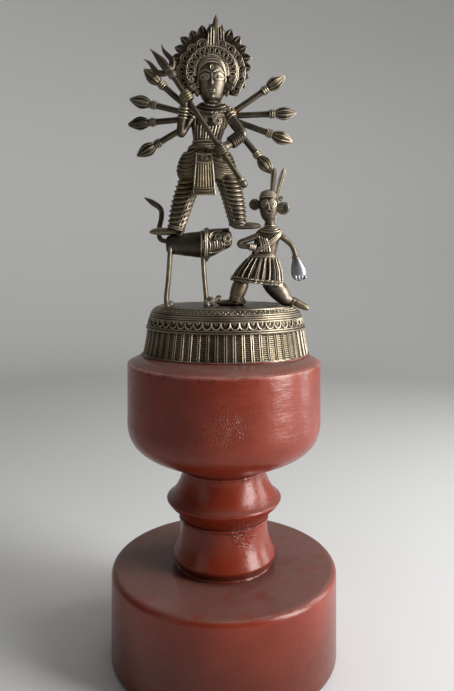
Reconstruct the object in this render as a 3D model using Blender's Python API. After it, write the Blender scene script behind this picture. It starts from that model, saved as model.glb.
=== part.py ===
"""A cast brass shrine group on a turned wooden stand, modelled in metres with +Z up.

A ten-armed goddess stands on a lion and on the shoulder of a kneeling demon, on an oval hollow base.
The castings are made one by one and brazed together, so each piece ends on its neighbour's surface
with a thin seam. Her trident is a loose rod that slides through two pierced fists.
The origin is the middle of the stand's underside, and the group faces -Y.
"""

import math

import bmesh
import bpy
from mathutils import Vector

# Seams and fits
SEAM = 0.0003
ROD_CLEARANCE = 0.00035

# Turned stand
DRUM_RADIUS = 0.083
DRUM_HEIGHT = 0.064
DRUM_EDGE = 0.0045
COLLAR_FOOT_RADIUS = 0.0382
COLLAR_FOOT_HEIGHT = 0.0075
COLLAR_WAIST_RADIUS = 0.0320
COLLAR_HEIGHT = 0.033
BEAD_RADIUS = 0.0426
BEAD_HEIGHT = 0.036
NECK_RADIUS = 0.0310
CUP_RADIUS = 0.0716
CUP_BELLY = 0.033
CUP_HEIGHT = 0.0795
CUP_CROWN = 0.0041
CUP_EDGE = 0.0012
DOWEL_RADIUS = 0.011
DOWEL_DEPTH = 0.026

# Oval base casting
BASE_HALF_WIDTH = 0.0627
BASE_HALF_DEPTH = 0.052
BASE_X = 0.0012
BASE_SETBACK = 0.008
BASE_RIB_HEIGHT = 0.0202
BASE_BAND_HEIGHT = 0.0068
BASE_DOME_HEIGHT = 0.0098
BASE_WALL = 0.003
BASE_RIB_COUNT = 48
BASE_RIB_DEPTH = 0.0012

# Lion
LION_RUMP_X = -0.0435
LION_LEG_LENGTH = 0.0387
LION_LEG_RADIUS = 0.0016
LION_LEG_SPREAD = 0.0042
LION_PAW_LENGTH = 0.0052
LION_BODY_LENGTH = 0.0285
LION_RUMP_RADIUS = 0.0068
LION_CHEST_RADIUS = 0.0104
LION_HEAD_LENGTH = 0.0208
LION_HEAD_RADIUS = 0.0112
LION_TAIL_RADIUS = 0.0019
LION_TAIL_RISE = 0.034
LION_TAIL_SWEEP = 0.018

# Goddess
GODDESS_X = -0.013
GODDESS_LEAN = 0.004
STANCE_HEIGHT = 0.053
STANCE_RIGHT = 0.023
HIP_HALF_WIDTH = 0.0215
HIP_HALF_DEPTH = 0.0102
HIP_DROP = 0.010
HIP_RISE = 0.016
THIGH_RADIUS = 0.0084
ANKLE_RADIUS = 0.0058
PLEAT_COUNT = 11
PLEAT_DEPTH = 0.0010
FOOT_RADIUS = 0.0030
RIGHT_HEEL = 0.0055
RIGHT_SOLE_DROP = 0.0008
RIGHT_TOE_TURN = 0.0015
LEFT_HEEL = 0.0045
LEFT_HEEL_LIFT = 0.0010
LEFT_INSTEP = 0.0110
LEFT_TOE_OUT = 0.0032
LEFT_TOE_LIFT = 0.0058
RIGHT_FOOT_LENGTH = 0.025
WAIST_HALF_WIDTH = 0.0105
WAIST_HALF_DEPTH = 0.0072
TORSO_HEIGHT = 0.030
SHOULDER_HALF_WIDTH = 0.0160
SHOULDER_HALF_DEPTH = 0.0078
NECK_HALF_WIDTH = 0.0062
NECK_LENGTH = 0.0010
HEAD_HALF_WIDTH = 0.0110
HEAD_HALF_DEPTH = 0.0098
HEAD_HEIGHT = 0.035
APRON_WIDTH = 0.0175
APRON_DROP = 0.024
APRON_THICKNESS = 0.0030
APRON_PLEATS = 6

# Crown and halo
HALO_RADIUS = 0.0313
HALO_TOOTH = 0.0048
HALO_TEETH = 19
HALO_THICKNESS = 0.0020
HALO_SPAN = 296.0
CROWN_RADIUS = 0.0185
CROWN_DEPTH = 0.0055
CREST_HEIGHT = 0.022
CREST_WIDTH = 0.0105
CREST_THICKNESS = 0.0035
EARRING_LENGTH = 0.0100
EARRING_RADIUS = 0.0024

# Rear arms: how far each points above level, and how far below the shoulder it starts
ARM_REACH = 0.049
ARM_RADIUS = 0.0024
BANGLE_RADIUS = 0.0035
BANGLE_LENGTH = 0.0042
BUD_RADIUS = 0.0047
BUD_LENGTH = 0.0165
ARM_PLANE_Y = 0.0032
RIGHT_ARM_ANGLES = (41.5, 14.0, -5.5, -31.0)
RIGHT_ARM_DROPS = (-0.0002, 0.0018, 0.0046, 0.0078)
LEFT_ARM_ANGLES = (34.6, 2.6, -20.2, -50.6)
LEFT_ARM_DROPS = (0.0006, 0.0026, 0.0055, 0.0085)

# Trident, and the two arms that hold it
TRIDENT_Y = -0.015
TRIDENT_RADIUS = 0.0019
TRIDENT_TAIL = 0.0250
TRIDENT_NECK = 0.0170
TRIDENT_SPAN = 0.0178
TRIDENT_PRONG = 0.0272
TRIDENT_PLATE = 0.0030
TRIDENT_FORK_LEAN = 6.5
KNOB_RADIUS = 0.0029
KNOB_LENGTH = 0.0078
GRIP_SPACING = 0.046
GRIP_LEAN = 33.2
FIST_WALL = 0.0022
FIST_LENGTH = 0.0080
MAIN_ARM_RADIUS = 0.0030
ELBOW_OUT = 0.0115
ELBOW_DROP = 0.0165

# Demon
DEMON_X = 0.0345
DEMON_LEAN = 0.0050
DEMON_LEG_LENGTH = 0.0172
DEMON_SKIRT_HEIGHT = 0.0210
DEMON_SKIRT_HALF_WIDTH = 0.0187
DEMON_SKIRT_HALF_DEPTH = 0.0125
DEMON_SKIRT_PLEATS = 22
DEMON_SKIRT_TILT = 7.0
DEMON_WAIST_HALF_WIDTH = 0.0092
DEMON_TORSO_HEIGHT = 0.0200
DEMON_SHOULDER_HALF_WIDTH = 0.0098
DEMON_HALF_DEPTH = 0.0055
DEMON_NECK_RADIUS = 0.0038
DEMON_NECK_LENGTH = 0.0050
DEMON_HEAD_HEIGHT = 0.0235
DEMON_HEAD_HALF_WIDTH = 0.0070
DEMON_DISC_RADIUS = 0.0046
DEMON_DISC_THICKNESS = 0.0018
DEMON_FEATHER_LENGTH = 0.0195
DEMON_FEATHER_RADIUS = 0.0018
DEMON_ARM_RADIUS = 0.0021
DEMON_PALM_RADIUS = 0.0056
DEMON_PALM_LENGTH = 0.0160
DEMON_THIGH_RADIUS = 0.0066
DEMON_FOOT_RADIUS = 0.0029

# Facets
STAND_STEPS = 44
LIMB_SIDES = 10
BODY_SIDES = 18

# Heights on the stand, from its underside
COLLAR_Z = DRUM_HEIGHT + SEAM
BEAD_Z = COLLAR_Z + COLLAR_HEIGHT + SEAM
CUP_Z = BEAD_Z + BEAD_HEIGHT + SEAM
CUP_RIM = CUP_Z + CUP_HEIGHT
STAND_TOP = CUP_RIM + CUP_CROWN

# Heights on the castings, from the stand's top face
BASE_TOP = SEAM + BASE_RIB_HEIGHT + BASE_BAND_HEIGHT + BASE_DOME_HEIGHT
LION_Z = BASE_TOP + LION_LEG_LENGTH + LION_RUMP_RADIUS
LION_BACK = LION_Z + LION_RUMP_RADIUS
PELVIS_Z = LION_BACK + STANCE_HEIGHT
WAIST_Z = PELVIS_Z + HIP_RISE
TORSO_TOP = WAIST_Z + TORSO_HEIGHT
SHOULDER_Z = TORSO_TOP - 0.2 * TORSO_HEIGHT
CHIN_Z = TORSO_TOP + NECK_LENGTH
HALO_Z = CHIN_Z + 0.805 * HEAD_HEIGHT
DEMON_HEM_Z = BASE_TOP + DEMON_LEG_LENGTH
DEMON_WAIST_Z = DEMON_HEM_Z + DEMON_SKIRT_HEIGHT
DEMON_TOP = DEMON_WAIST_Z + DEMON_TORSO_HEIGHT
DEMON_SHOULDER_Z = DEMON_TOP - 0.22 * DEMON_TORSO_HEIGHT
DEMON_CHIN_Z = DEMON_TOP + DEMON_NECK_LENGTH

# Points that several pieces share, from the stand's top face
NECK_X = GODDESS_X + GODDESS_LEAN
LION_NECK_X = LION_RUMP_X + LION_BODY_LENGTH
RIGHT_ANKLE = Vector((GODDESS_X - STANCE_RIGHT, -0.001, LION_BACK + 1.3 * FOOT_RADIUS))
DEMON_RIGHT_SHOULDER = Vector((DEMON_X - DEMON_SHOULDER_HALF_WIDTH, 0.0, DEMON_SHOULDER_Z))
DEMON_LEFT_SHOULDER = Vector((DEMON_X + DEMON_SHOULDER_HALF_WIDTH, 0.0, DEMON_SHOULDER_Z))
LEFT_ANKLE = Vector((DEMON_RIGHT_SHOULDER.x - 0.0145, -0.001, DEMON_TOP + 0.5 * FOOT_RADIUS))
GRIP_AXIS = Vector((-math.sin(math.radians(GRIP_LEAN)), 0.0, math.cos(math.radians(GRIP_LEAN))))
LOWER_GRIP = Vector((GODDESS_X + 0.0110, TRIDENT_Y, WAIST_Z - 0.0072))
UPPER_GRIP = LOWER_GRIP + GRIP_SPACING * GRIP_AXIS
KNOB_TOP = LOWER_GRIP - TRIDENT_TAIL * GRIP_AXIS
HEAD_FOOT = UPPER_GRIP + TRIDENT_NECK * GRIP_AXIS
FIST_RADIUS = TRIDENT_RADIUS + ROD_CLEARANCE + FIST_WALL


# Scene, finishes and shared makers

def clear_scene():
    for obj in list(bpy.data.objects):
        bpy.data.objects.remove(obj)


def finish(name, colour, metallic, roughness):
    """A plain finish: one colour with its metallic and roughness values."""
    material = bpy.data.materials.new(name)
    material.use_nodes = True
    shader = material.node_tree.nodes["Principled BSDF"]
    shader.inputs["Base Color"].default_value = (*colour, 1.0)
    shader.inputs["Metallic"].default_value = metallic
    shader.inputs["Roughness"].default_value = roughness
    return material


def add_solid(name, bm, material, parent):
    """Closes the drawn faces into one named, smooth-shaded piece."""
    bmesh.ops.recalc_face_normals(bm, faces=bm.faces)
    bmesh.ops.triangulate(bm, faces=bm.faces)
    mesh = bpy.data.meshes.new(name)
    bm.to_mesh(mesh)
    bm.free()
    mesh.materials.append(material)
    mesh.shade_smooth()
    mesh.set_sharp_from_angle(angle=math.radians(40))
    obj = bpy.data.objects.new(name, mesh)
    bpy.context.scene.collection.objects.link(obj)
    obj.parent = parent
    return obj


def skin(rings):
    """A closed mesh over rings that all have the same number of points."""
    bm = bmesh.new()
    loops = [[bm.verts.new(point) for point in ring] for ring in rings]
    for lower, upper in zip(loops, loops[1:]):
        count = len(lower)
        for i in range(count):
            j = (i + 1) % count
            bm.faces.new((lower[i], lower[j], upper[j], upper[i]))
    bm.faces.new(loops[0][::-1])
    bm.faces.new(loops[-1])
    return bm


def turned(name, profile, material, parent):
    """A lathe-turned piece: the profile of (radius, height) points goes once round the Z axis."""
    bm = bmesh.new()
    verts = [bm.verts.new((radius, 0.0, height)) for radius, height in profile]
    edges = [bm.edges.new(pair) for pair in zip(verts, verts[1:] + verts[:1])]
    bmesh.ops.spin(bm, geom=verts + edges, axis=(0, 0, 1), cent=(0, 0, 0),
                   angle=2 * math.pi, steps=STAND_STEPS, use_merge=True)
    bmesh.ops.remove_doubles(bm, verts=bm.verts, dist=1e-7)
    axis_edges = [e for e in bm.edges if not e.link_faces]
    bmesh.ops.delete(bm, geom=axis_edges, context="EDGES")
    bmesh.ops.dissolve_degenerate(bm, dist=1e-7, edges=bm.edges)
    return add_solid(name, bm, material, parent)


def arc(centre, radius, start, end, count):
    """(radius, height) points along a round stretch of a turned profile; angles in degrees."""
    turns = [math.radians(start + (end - start) * i / (count - 1)) for i in range(count)]
    return [(centre[0] + radius * math.cos(t), centre[1] + radius * math.sin(t)) for t in turns]


def oval(centre, first, second, sides):
    """Points round an oval whose two half axes are the vectors first and second."""
    turns = [2 * math.pi * i / sides for i in range(sides)]
    return [centre + math.cos(t) * first + math.sin(t) * second for t in turns]


def column(name, levels, material, parent, sides=BODY_SIDES):
    """An upright body through level ovals, each (height, x, y, half width, half depth)."""
    rings = [oval(Vector((x, y, z)), Vector((wide, 0, 0)), Vector((0, deep, 0)), sides)
             for z, x, y, wide, deep in levels]
    return add_solid(name, skin(rings), material, parent)


def barrel(name, levels, material, parent, sides=BODY_SIDES):
    """A body lying along X through upright ovals, each (x, y, height, half depth, half height)."""
    rings = [oval(Vector((x, y, z)), Vector((0, deep, 0)), Vector((0, 0, tall)), sides)
             for x, y, z, deep, tall in levels]
    return add_solid(name, skin(rings), material, parent)


def smooth(path, radii, count):
    """Evenly shared points, with their radii, on one smooth curve through the path."""
    keys = [Vector((*point, radius)) for point, radius in zip(path, radii)]
    keys = [2 * keys[0] - keys[1], *keys, 2 * keys[-1] - keys[-2]]
    spans = len(path) - 1
    found = []
    for i in range(count):
        place = spans * i / (count - 1)
        span = min(int(place), spans - 1)
        t = place - span
        a, b, c, d = keys[span:span + 4]
        found.append(0.5 * (2 * b + t * (c - a) + t * t * (2 * a - 5 * b + 4 * c - d)
                            + t ** 3 * (3 * b - a - 3 * c + d)))
    return [key.to_3d() for key in found], [key[3] for key in found]


def sweep(points, radii, sides, flat=1.0, side_hint=Vector((0, 1, 0))):
    """Round rings that follow the points; flat below 1 thins them across the hinted side."""
    rings = []
    for i, point in enumerate(points):
        along = (points[min(i + 1, len(points) - 1)] - points[max(i - 1, 0)]).normalized()
        side = (side_hint - side_hint.dot(along) * along).normalized()
        rings.append(oval(point, radii[i] * along.cross(side), flat * radii[i] * side, sides))
    return rings


def limb(name, path, radii, material, parent, count=9, flat=1.0, side_hint=Vector((0, 1, 0))):
    """A bar of changing thickness along a smooth path."""
    points, widths = smooth(path, radii, count)
    rings = sweep(points, widths, LIMB_SIDES, flat, side_hint)
    return add_solid(name, skin(rings), material, parent)


def plate(name, outline, front, back, material, parent):
    """A flat piece: an upright (x, z) outline given a thickness from front to back along Y."""
    rings = [[Vector((x, y, z)) for x, z in outline] for y in (front, back)]
    return add_solid(name, skin(rings), material, parent)


def round_tool(name, start, end, radius, parent):
    """A hidden drill along the line from start to end."""
    across = (end - start).orthogonal().normalized()
    other = (end - start).normalized().cross(across)
    rings = [oval(point, radius * across, radius * other, 16) for point in (start, end)]
    tool = add_solid(name, skin(rings), None, parent)
    hide(tool)
    return tool


def hide(obj):
    obj.hide_render = True
    obj.display_type = "WIRE"


def cut(obj, tool):
    modifier = obj.modifiers.new("cut by " + tool.name, "BOOLEAN")
    modifier.operation = "DIFFERENCE"
    modifier.object = tool


def seat(obj, *carriers):
    """Ends a piece on its carriers' surfaces, one brazing seam away from them."""
    for carrier in carriers:
        tool_name = carrier.name + "_seam_tool"
        tool = bpy.data.objects.get(tool_name)
        if tool is None:
            tool = bpy.data.objects.new(tool_name, carrier.data)
            bpy.context.scene.collection.objects.link(tool)
            tool.parent = carrier.parent
            swell = tool.modifiers.new("seam", "DISPLACE")
            swell.strength = SEAM
            swell.mid_level = 0.0
            hide(tool)
        cut(obj, tool)


# Turned stand

# Share of the swell and share of the height, from the foot of each turned piece to its top
COLLAR_FLARE = ((1.0, 0.0), (0.68, 0.17), (0.37, 0.35), (0.16, 0.56), (0.04, 0.77), (0.0, 1.0))
BEAD_RIDGE = ((0.0, 0.0), (0.36, 0.17), (0.76, 0.29), (0.98, 0.38), (1.0, 0.41), (0.72, 0.49), (0.44, 0.60),
              (0.23, 0.72), (0.07, 0.86), (0.0, 1.0))
CUP_BOWL = ((0.06, 0.09), (0.28, 0.205), (0.57, 0.34), (0.80, 0.52), (0.94, 0.74), (1.0, 1.0))


def build_stand(paint, bare_wood, parent):
    bore = DOWEL_RADIUS + SEAM
    drum = [(0, 0), (DRUM_RADIUS - 0.4 * DRUM_EDGE, 0), (DRUM_RADIUS, 0.4 * DRUM_EDGE)]
    drum += arc((DRUM_RADIUS - DRUM_EDGE, DRUM_HEIGHT - DRUM_EDGE), DRUM_EDGE, 0, 90, 5)
    drum += [(bore, DRUM_HEIGHT), (bore, DRUM_HEIGHT - DOWEL_DEPTH), (0, DRUM_HEIGHT - DOWEL_DEPTH)]
    turned("stand_drum", drum, paint, parent)

    flare = COLLAR_FOOT_RADIUS - COLLAR_WAIST_RADIUS
    rise = COLLAR_HEIGHT - COLLAR_FOOT_HEIGHT
    collar = [(bore, COLLAR_Z), (COLLAR_FOOT_RADIUS - 0.6 * flare, COLLAR_Z)]
    collar += [(COLLAR_FOOT_RADIUS - 0.35 * flare, COLLAR_Z + 0.5 * COLLAR_FOOT_HEIGHT)]
    collar += [(COLLAR_FOOT_RADIUS, COLLAR_Z + 0.75 * COLLAR_FOOT_HEIGHT)]
    for share, height in COLLAR_FLARE:
        collar.append((COLLAR_WAIST_RADIUS + flare * share, COLLAR_Z + COLLAR_FOOT_HEIGHT + rise * height))
    collar += [(bore, COLLAR_Z + COLLAR_HEIGHT)]
    turned("stand_collar", collar, paint, parent)

    swell = BEAD_RADIUS - NECK_RADIUS
    bead = [(bore, BEAD_Z)]
    for share, height in BEAD_RIDGE:
        bead.append((NECK_RADIUS + swell * share, BEAD_Z + BEAD_HEIGHT * height))
    bead += [(bore, BEAD_Z + BEAD_HEIGHT)]
    turned("stand_bead", bead, paint, parent)

    overhang = CUP_RADIUS - NECK_RADIUS
    cup = [(0, CUP_Z + DOWEL_DEPTH), (bore, CUP_Z + DOWEL_DEPTH), (bore, CUP_Z), (NECK_RADIUS, CUP_Z)]
    for share, height in CUP_BOWL:
        cup.append((NECK_RADIUS + overhang * share, CUP_Z + CUP_BELLY * height))
    cup += [(CUP_RADIUS, CUP_RIM - CUP_EDGE), (CUP_RADIUS - CUP_EDGE, CUP_RIM)]
    cup += [(CUP_RADIUS - 0.35 * CUP_CROWN - CUP_EDGE, CUP_RIM + 0.25 * CUP_CROWN)]
    cup += [(CUP_RADIUS - 2 * CUP_CROWN - CUP_EDGE, STAND_TOP), (0, STAND_TOP)]
    turned("stand_cup", cup, paint, parent)

    low = DRUM_HEIGHT - DOWEL_DEPTH + SEAM
    high = CUP_Z + DOWEL_DEPTH - SEAM
    dowel = [(0, low), (DOWEL_RADIUS, low), (DOWEL_RADIUS, high), (0, high)]
    turned("stand_dowel", dowel, bare_wood, parent)


# Oval base

# Share of the outline and share of each stage's height, from the foot of the ribs to the dome's crown
BASE_RIB_TAPER = 0.945
BASE_BAND_TAPER = 0.915
BASE_DOME = ((0.90, 0.42), (0.85, 0.72), (0.78, 0.90), (0.62, 0.97), (0.3, 1.0))


def base_levels():
    """(share of the outline, height, whether the ribs show) up the base."""
    ribs_top = SEAM + BASE_RIB_HEIGHT
    dome_foot = ribs_top + BASE_BAND_HEIGHT
    levels = [(1.0, SEAM, True), (BASE_RIB_TAPER, ribs_top, True)]
    levels += [(BASE_RIB_TAPER - 0.005, ribs_top + SEAM, False), (BASE_BAND_TAPER, dome_foot, False)]
    levels += [(share, dome_foot + rise * BASE_DOME_HEIGHT, False) for share, rise in BASE_DOME]
    return levels


def base_height_at(x, y):
    """The height of the base's upper surface over a point of the stand's top."""
    share = math.hypot((x - BASE_X) / BASE_HALF_WIDTH, (y - BASE_SETBACK) / BASE_HALF_DEPTH)
    levels = [(0.0, BASE_TOP)] + [(s, z) for s, z, _ in reversed(base_levels())]
    for (inner, high), (outer, low) in zip(levels, levels[1:]):
        if share <= outer:
            return high + (low - high) * (share - inner) / (outer - inner)
    return SEAM


def build_base(brass, parent):
    """A hollow oval casting with upright ribs round its wall and a domed top."""
    count = 2 * BASE_RIB_COUNT
    rings = []
    for share, height, ribbed in base_levels():
        ring = []
        for i in range(count):
            turn = 2 * math.pi * i / count
            valley = BASE_RIB_DEPTH if ribbed and i % 2 else 0.0
            ring.append(Vector((BASE_X + (BASE_HALF_WIDTH * share - valley) * math.cos(turn),
                                BASE_SETBACK + (BASE_HALF_DEPTH * share - valley) * math.sin(turn), height)))
        rings.append(ring)
    base = add_solid("base_plinth", skin(rings), brass, parent)
    wall = BASE_WALL + BASE_RIB_DEPTH
    hollow = []
    ceiling = BASE_RIB_HEIGHT + BASE_BAND_HEIGHT - BASE_WALL
    for share, height in ((1.0, -BASE_WALL), (BASE_BAND_TAPER, 0.8 * ceiling),
                          (0.8 * BASE_BAND_TAPER, ceiling)):
        hollow.append(oval(Vector((BASE_X, BASE_SETBACK, height)),
                           Vector((BASE_HALF_WIDTH * share - wall, 0, 0)),
                           Vector((0, BASE_HALF_DEPTH * share - wall, 0)), 32))
    core = add_solid("base_core_tool", skin(hollow), None, parent)
    hide(core)
    cut(base, core)
    return base


# Lion

def build_lion(brass, parent, base):
    levels = []
    for share, radius in ((0.0, 0.35), (0.03, 0.72), (0.11, 0.97), (0.3, 1.0), (0.6, 1.0), (1.0, 1.0)):
        size = radius * (LION_RUMP_RADIUS + share * (LION_CHEST_RADIUS - LION_RUMP_RADIUS))
        levels.append((LION_RUMP_X + share * (LION_BODY_LENGTH - SEAM), 0.0, LION_Z, 0.86 * size, size))
    body = barrel("lion_body", levels, brass, parent)

    head_levels = []
    shape = ((0.0, 0.95, 0.0), (0.06, 1.06, 0.0), (0.16, 1.06, 0.02), (0.24, 0.95, 0.08), (0.45, 0.88, 0.20),
             (0.70, 0.74, 0.34), (0.90, 0.60, 0.36), (1.0, 0.34, 0.34))
    for share, radius, lift in shape:
        size = radius * LION_HEAD_RADIUS
        head_levels.append((LION_NECK_X + share * LION_HEAD_LENGTH, 0.0, LION_Z + lift * LION_HEAD_RADIUS,
                            0.78 * size, size))
    head = barrel("lion_head", head_levels, brass, parent)

    tail_x = LION_RUMP_X - 0.0055
    tail_y = LION_TAIL_RADIUS + 0.0024
    rise = LION_TAIL_RISE
    tail_path = [Vector((LION_RUMP_X + 0.004, tail_y, LION_Z + 0.002)),
                 Vector((tail_x + 0.001, tail_y, LION_Z + 0.12 * rise)),
                 Vector((tail_x, tail_y, LION_Z + 0.35 * rise)),
                 Vector((tail_x + 0.0018, tail_y, LION_Z + 0.62 * rise)),
                 Vector((tail_x + 0.0008, tail_y, LION_Z + 0.80 * rise)),
                 Vector((tail_x - 0.30 * LION_TAIL_SWEEP, tail_y, LION_Z + 0.94 * rise)),
                 Vector((tail_x - 0.64 * LION_TAIL_SWEEP, tail_y, LION_Z + 1.05 * rise))]
    thick = LION_TAIL_RADIUS
    tail = limb("lion_tail", tail_path,
                [thick, thick, thick, thick, 1.05 * thick, 1.15 * thick, 0.25 * thick],
                brass, parent, count=14)
    seat(tail, body)

    places = (("lion_hindleg", LION_RUMP_X + 0.0035, -0.0030), ("lion_foreleg", LION_NECK_X - 0.0010, 0.0026))
    for name, hip_x, stride in places:
        for side, y in (("right", -LION_LEG_SPREAD), ("left", LION_LEG_SPREAD)):
            leg = build_lion_leg(name + "_" + side, hip_x, hip_x + stride, y, brass, parent)
            seat(leg, body, head, base)
    return body, head


def build_lion_leg(name, hip_x, paw_x, y, brass, parent):
    """A thin straight leg that swells into a paw pointing forwards."""
    ground = base_height_at(paw_x, y)
    top = LION_Z - 0.35 * LION_RUMP_RADIUS
    levels = []
    for share, length, forward in ((1.0, 1.0, 0.0), (0.5, 1.0, 0.0), (0.15, 1.05, 0.0)):
        height = ground + share * (top - ground)
        levels.append((height, paw_x + share * (hip_x - paw_x), y, length * LION_LEG_RADIUS, LION_LEG_RADIUS))
    half_paw = 0.5 * LION_PAW_LENGTH
    for rise, spread, forward in ((0.0042, 0.75, 0.15), (0.0026, 1.0, 0.45), (-0.0012, 1.0, 0.45)):
        levels.append((ground + rise, paw_x + forward * half_paw, y, spread * half_paw,
                       1.35 * LION_LEG_RADIUS))
    return column(name, levels, brass, parent, LIMB_SIDES)


# Goddess

def build_goddess(brass, parent, lion_body, demon_torso, demon_right_arm):
    hip_levels = []
    for share, wide, deep in ((-1.0, 0.95, 0.80), (-0.75, 0.98, 0.94), (-0.3, 1.0, 1.0), (0.25, 0.90, 0.98)):
        height = PELVIS_Z + share * (HIP_DROP if share < 0 else HIP_RISE)
        hip_levels.append((height, GODDESS_X, 0.0, wide * HIP_HALF_WIDTH, deep * HIP_HALF_DEPTH))
    hip_levels.append((PELVIS_Z + 0.65 * HIP_RISE, GODDESS_X, 0.0, 0.70 * HIP_HALF_WIDTH,
                       0.9 * HIP_HALF_DEPTH))
    hip_levels.append((WAIST_Z - SEAM, GODDESS_X, 0.0, WAIST_HALF_WIDTH, WAIST_HALF_DEPTH))
    hips = column("goddess_hips", hip_levels, brass, parent)

    torso_levels = []
    for share, blend in ((0.0, 0.0), (0.12, 0.05), (0.38, 0.42), (0.62, 0.85), (0.80, 1.0)):
        torso_levels.append((WAIST_Z + share * TORSO_HEIGHT, GODDESS_X + share * GODDESS_LEAN, 0.0,
                             WAIST_HALF_WIDTH + blend * (SHOULDER_HALF_WIDTH - WAIST_HALF_WIDTH),
                             WAIST_HALF_DEPTH + blend * (SHOULDER_HALF_DEPTH - WAIST_HALF_DEPTH)))
    torso_levels.append((WAIST_Z + 0.92 * TORSO_HEIGHT, NECK_X, 0.0,
                         0.80 * SHOULDER_HALF_WIDTH, 0.90 * SHOULDER_HALF_DEPTH))
    torso_levels.append((TORSO_TOP - SEAM, NECK_X, 0.0, 1.15 * NECK_HALF_WIDTH, 1.05 * NECK_HALF_WIDTH))
    torso = column("goddess_torso", torso_levels, brass, parent)

    head_levels = [(TORSO_TOP, NECK_X, 0.0, NECK_HALF_WIDTH, NECK_HALF_WIDTH),
                   (CHIN_Z, NECK_X, -0.0005, 0.95 * NECK_HALF_WIDTH, NECK_HALF_WIDTH)]
    egg = ((0.06, 0.68, 0.80), (0.22, 0.90, 0.94), (0.45, 1.0, 1.0), (0.66, 0.98, 0.98), (0.84, 0.80, 0.82),
           (0.95, 0.50, 0.52), (1.0, 0.16, 0.16))
    for share, wide, deep in egg:
        head_levels.append((CHIN_Z + share * HEAD_HEIGHT, NECK_X, -0.0010,
                            wide * HEAD_HALF_WIDTH, deep * HEAD_HALF_DEPTH))
    head = column("goddess_head", head_levels, brass, parent)

    right_sole = RIGHT_ANKLE + Vector((0, 0, -RIGHT_SOLE_DROP))
    right_foot = limb("goddess_right_foot",
                      [right_sole + Vector((RIGHT_HEEL, 0, 0)),
                       right_sole + Vector((-0.545 * RIGHT_HEEL, 0, 0)),
                       right_sole + Vector((-0.6 * RIGHT_FOOT_LENGTH, -0.67 * RIGHT_TOE_TURN,
                                            -0.5 * RIGHT_SOLE_DROP)),
                       right_sole + Vector((RIGHT_HEEL - RIGHT_FOOT_LENGTH, -RIGHT_TOE_TURN,
                                            -0.75 * RIGHT_SOLE_DROP))],
                      [0.7 * FOOT_RADIUS, FOOT_RADIUS, 0.85 * FOOT_RADIUS, 0.4 * FOOT_RADIUS], brass, parent)
    seat(right_foot, lion_body)
    left_foot = limb("goddess_left_foot",
                     [LEFT_ANKLE + Vector((-LEFT_HEEL, 0, LEFT_HEEL_LIFT)),
                      LEFT_ANKLE + Vector((0.67 * LEFT_HEEL, 0, 0)),
                      LEFT_ANKLE + Vector((LEFT_INSTEP, 0, -0.5 * LEFT_HEEL_LIFT)),
                      DEMON_RIGHT_SHOULDER + Vector((LEFT_TOE_OUT, 0, LEFT_TOE_LIFT))],
                     [0.7 * FOOT_RADIUS, FOOT_RADIUS, 0.85 * FOOT_RADIUS, 0.45 * FOOT_RADIUS], brass, parent)
    seat(left_foot, demon_torso, demon_right_arm)

    for name, hip_side, ankle, foot in (("goddess_right_leg", -0.50, RIGHT_ANKLE, right_foot),
                                        ("goddess_left_leg", 0.68, LEFT_ANKLE, left_foot)):
        leg = build_pleated_leg(name, hip_side, ankle, brass, parent)
        seat(leg, foot)
    build_apron(brass, parent, hips)
    return torso, head


def build_pleated_leg(name, hip_side, ankle, brass, parent):
    """A draped leg under the hips whose cloth lies in raised rings, one pleat above the other."""
    hip = Vector((GODDESS_X + hip_side * HIP_HALF_WIDTH, 0.0, PELVIS_Z - HIP_DROP - SEAM))
    outward = math.copysign(0.06 * HIP_HALF_WIDTH, hip_side)
    levels = []
    for i in range(2 * PLEAT_COUNT + 1):
        share = i / (2 * PLEAT_COUNT)
        centre = hip.lerp(ankle, share)
        radius = THIGH_RADIUS + share ** 1.6 * (ANKLE_RADIUS - THIGH_RADIUS) - PLEAT_DEPTH * (i % 2)
        levels.append((centre.z, centre.x + outward * math.sin(math.pi * share), centre.y, 1.06 * radius,
                       radius))
    return column(name, levels, brass, parent, LIMB_SIDES)


def build_apron(brass, parent, hips):
    """The hanging front cloth: upright pleats, wider at its lower edge."""
    back = -0.94 * HIP_HALF_DEPTH
    rings = []
    for height, width in ((PELVIS_Z + 0.45 * HIP_RISE, 0.70), (PELVIS_Z, 0.80), (PELVIS_Z - APRON_DROP, 1.0)):
        half = 0.5 * width * APRON_WIDTH
        ring = []
        for i in range(2 * APRON_PLEATS + 1):
            across = 2.0 * i / (2 * APRON_PLEATS) - 1.0
            fold = APRON_THICKNESS - PLEAT_DEPTH * (i % 2) - 0.3 * APRON_THICKNESS * across * across
            ring.append(Vector((GODDESS_X - 0.0015 + half * across, back - fold, height)))
        ring += [Vector((GODDESS_X - 0.0015 + half, back, height)),
                 Vector((GODDESS_X - 0.0015 - half, back, height))]
        rings.append(ring)
    apron = add_solid("goddess_apron", skin(rings), brass, parent)
    seat(apron, hips)


# Crown, crest, halo and earrings

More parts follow.
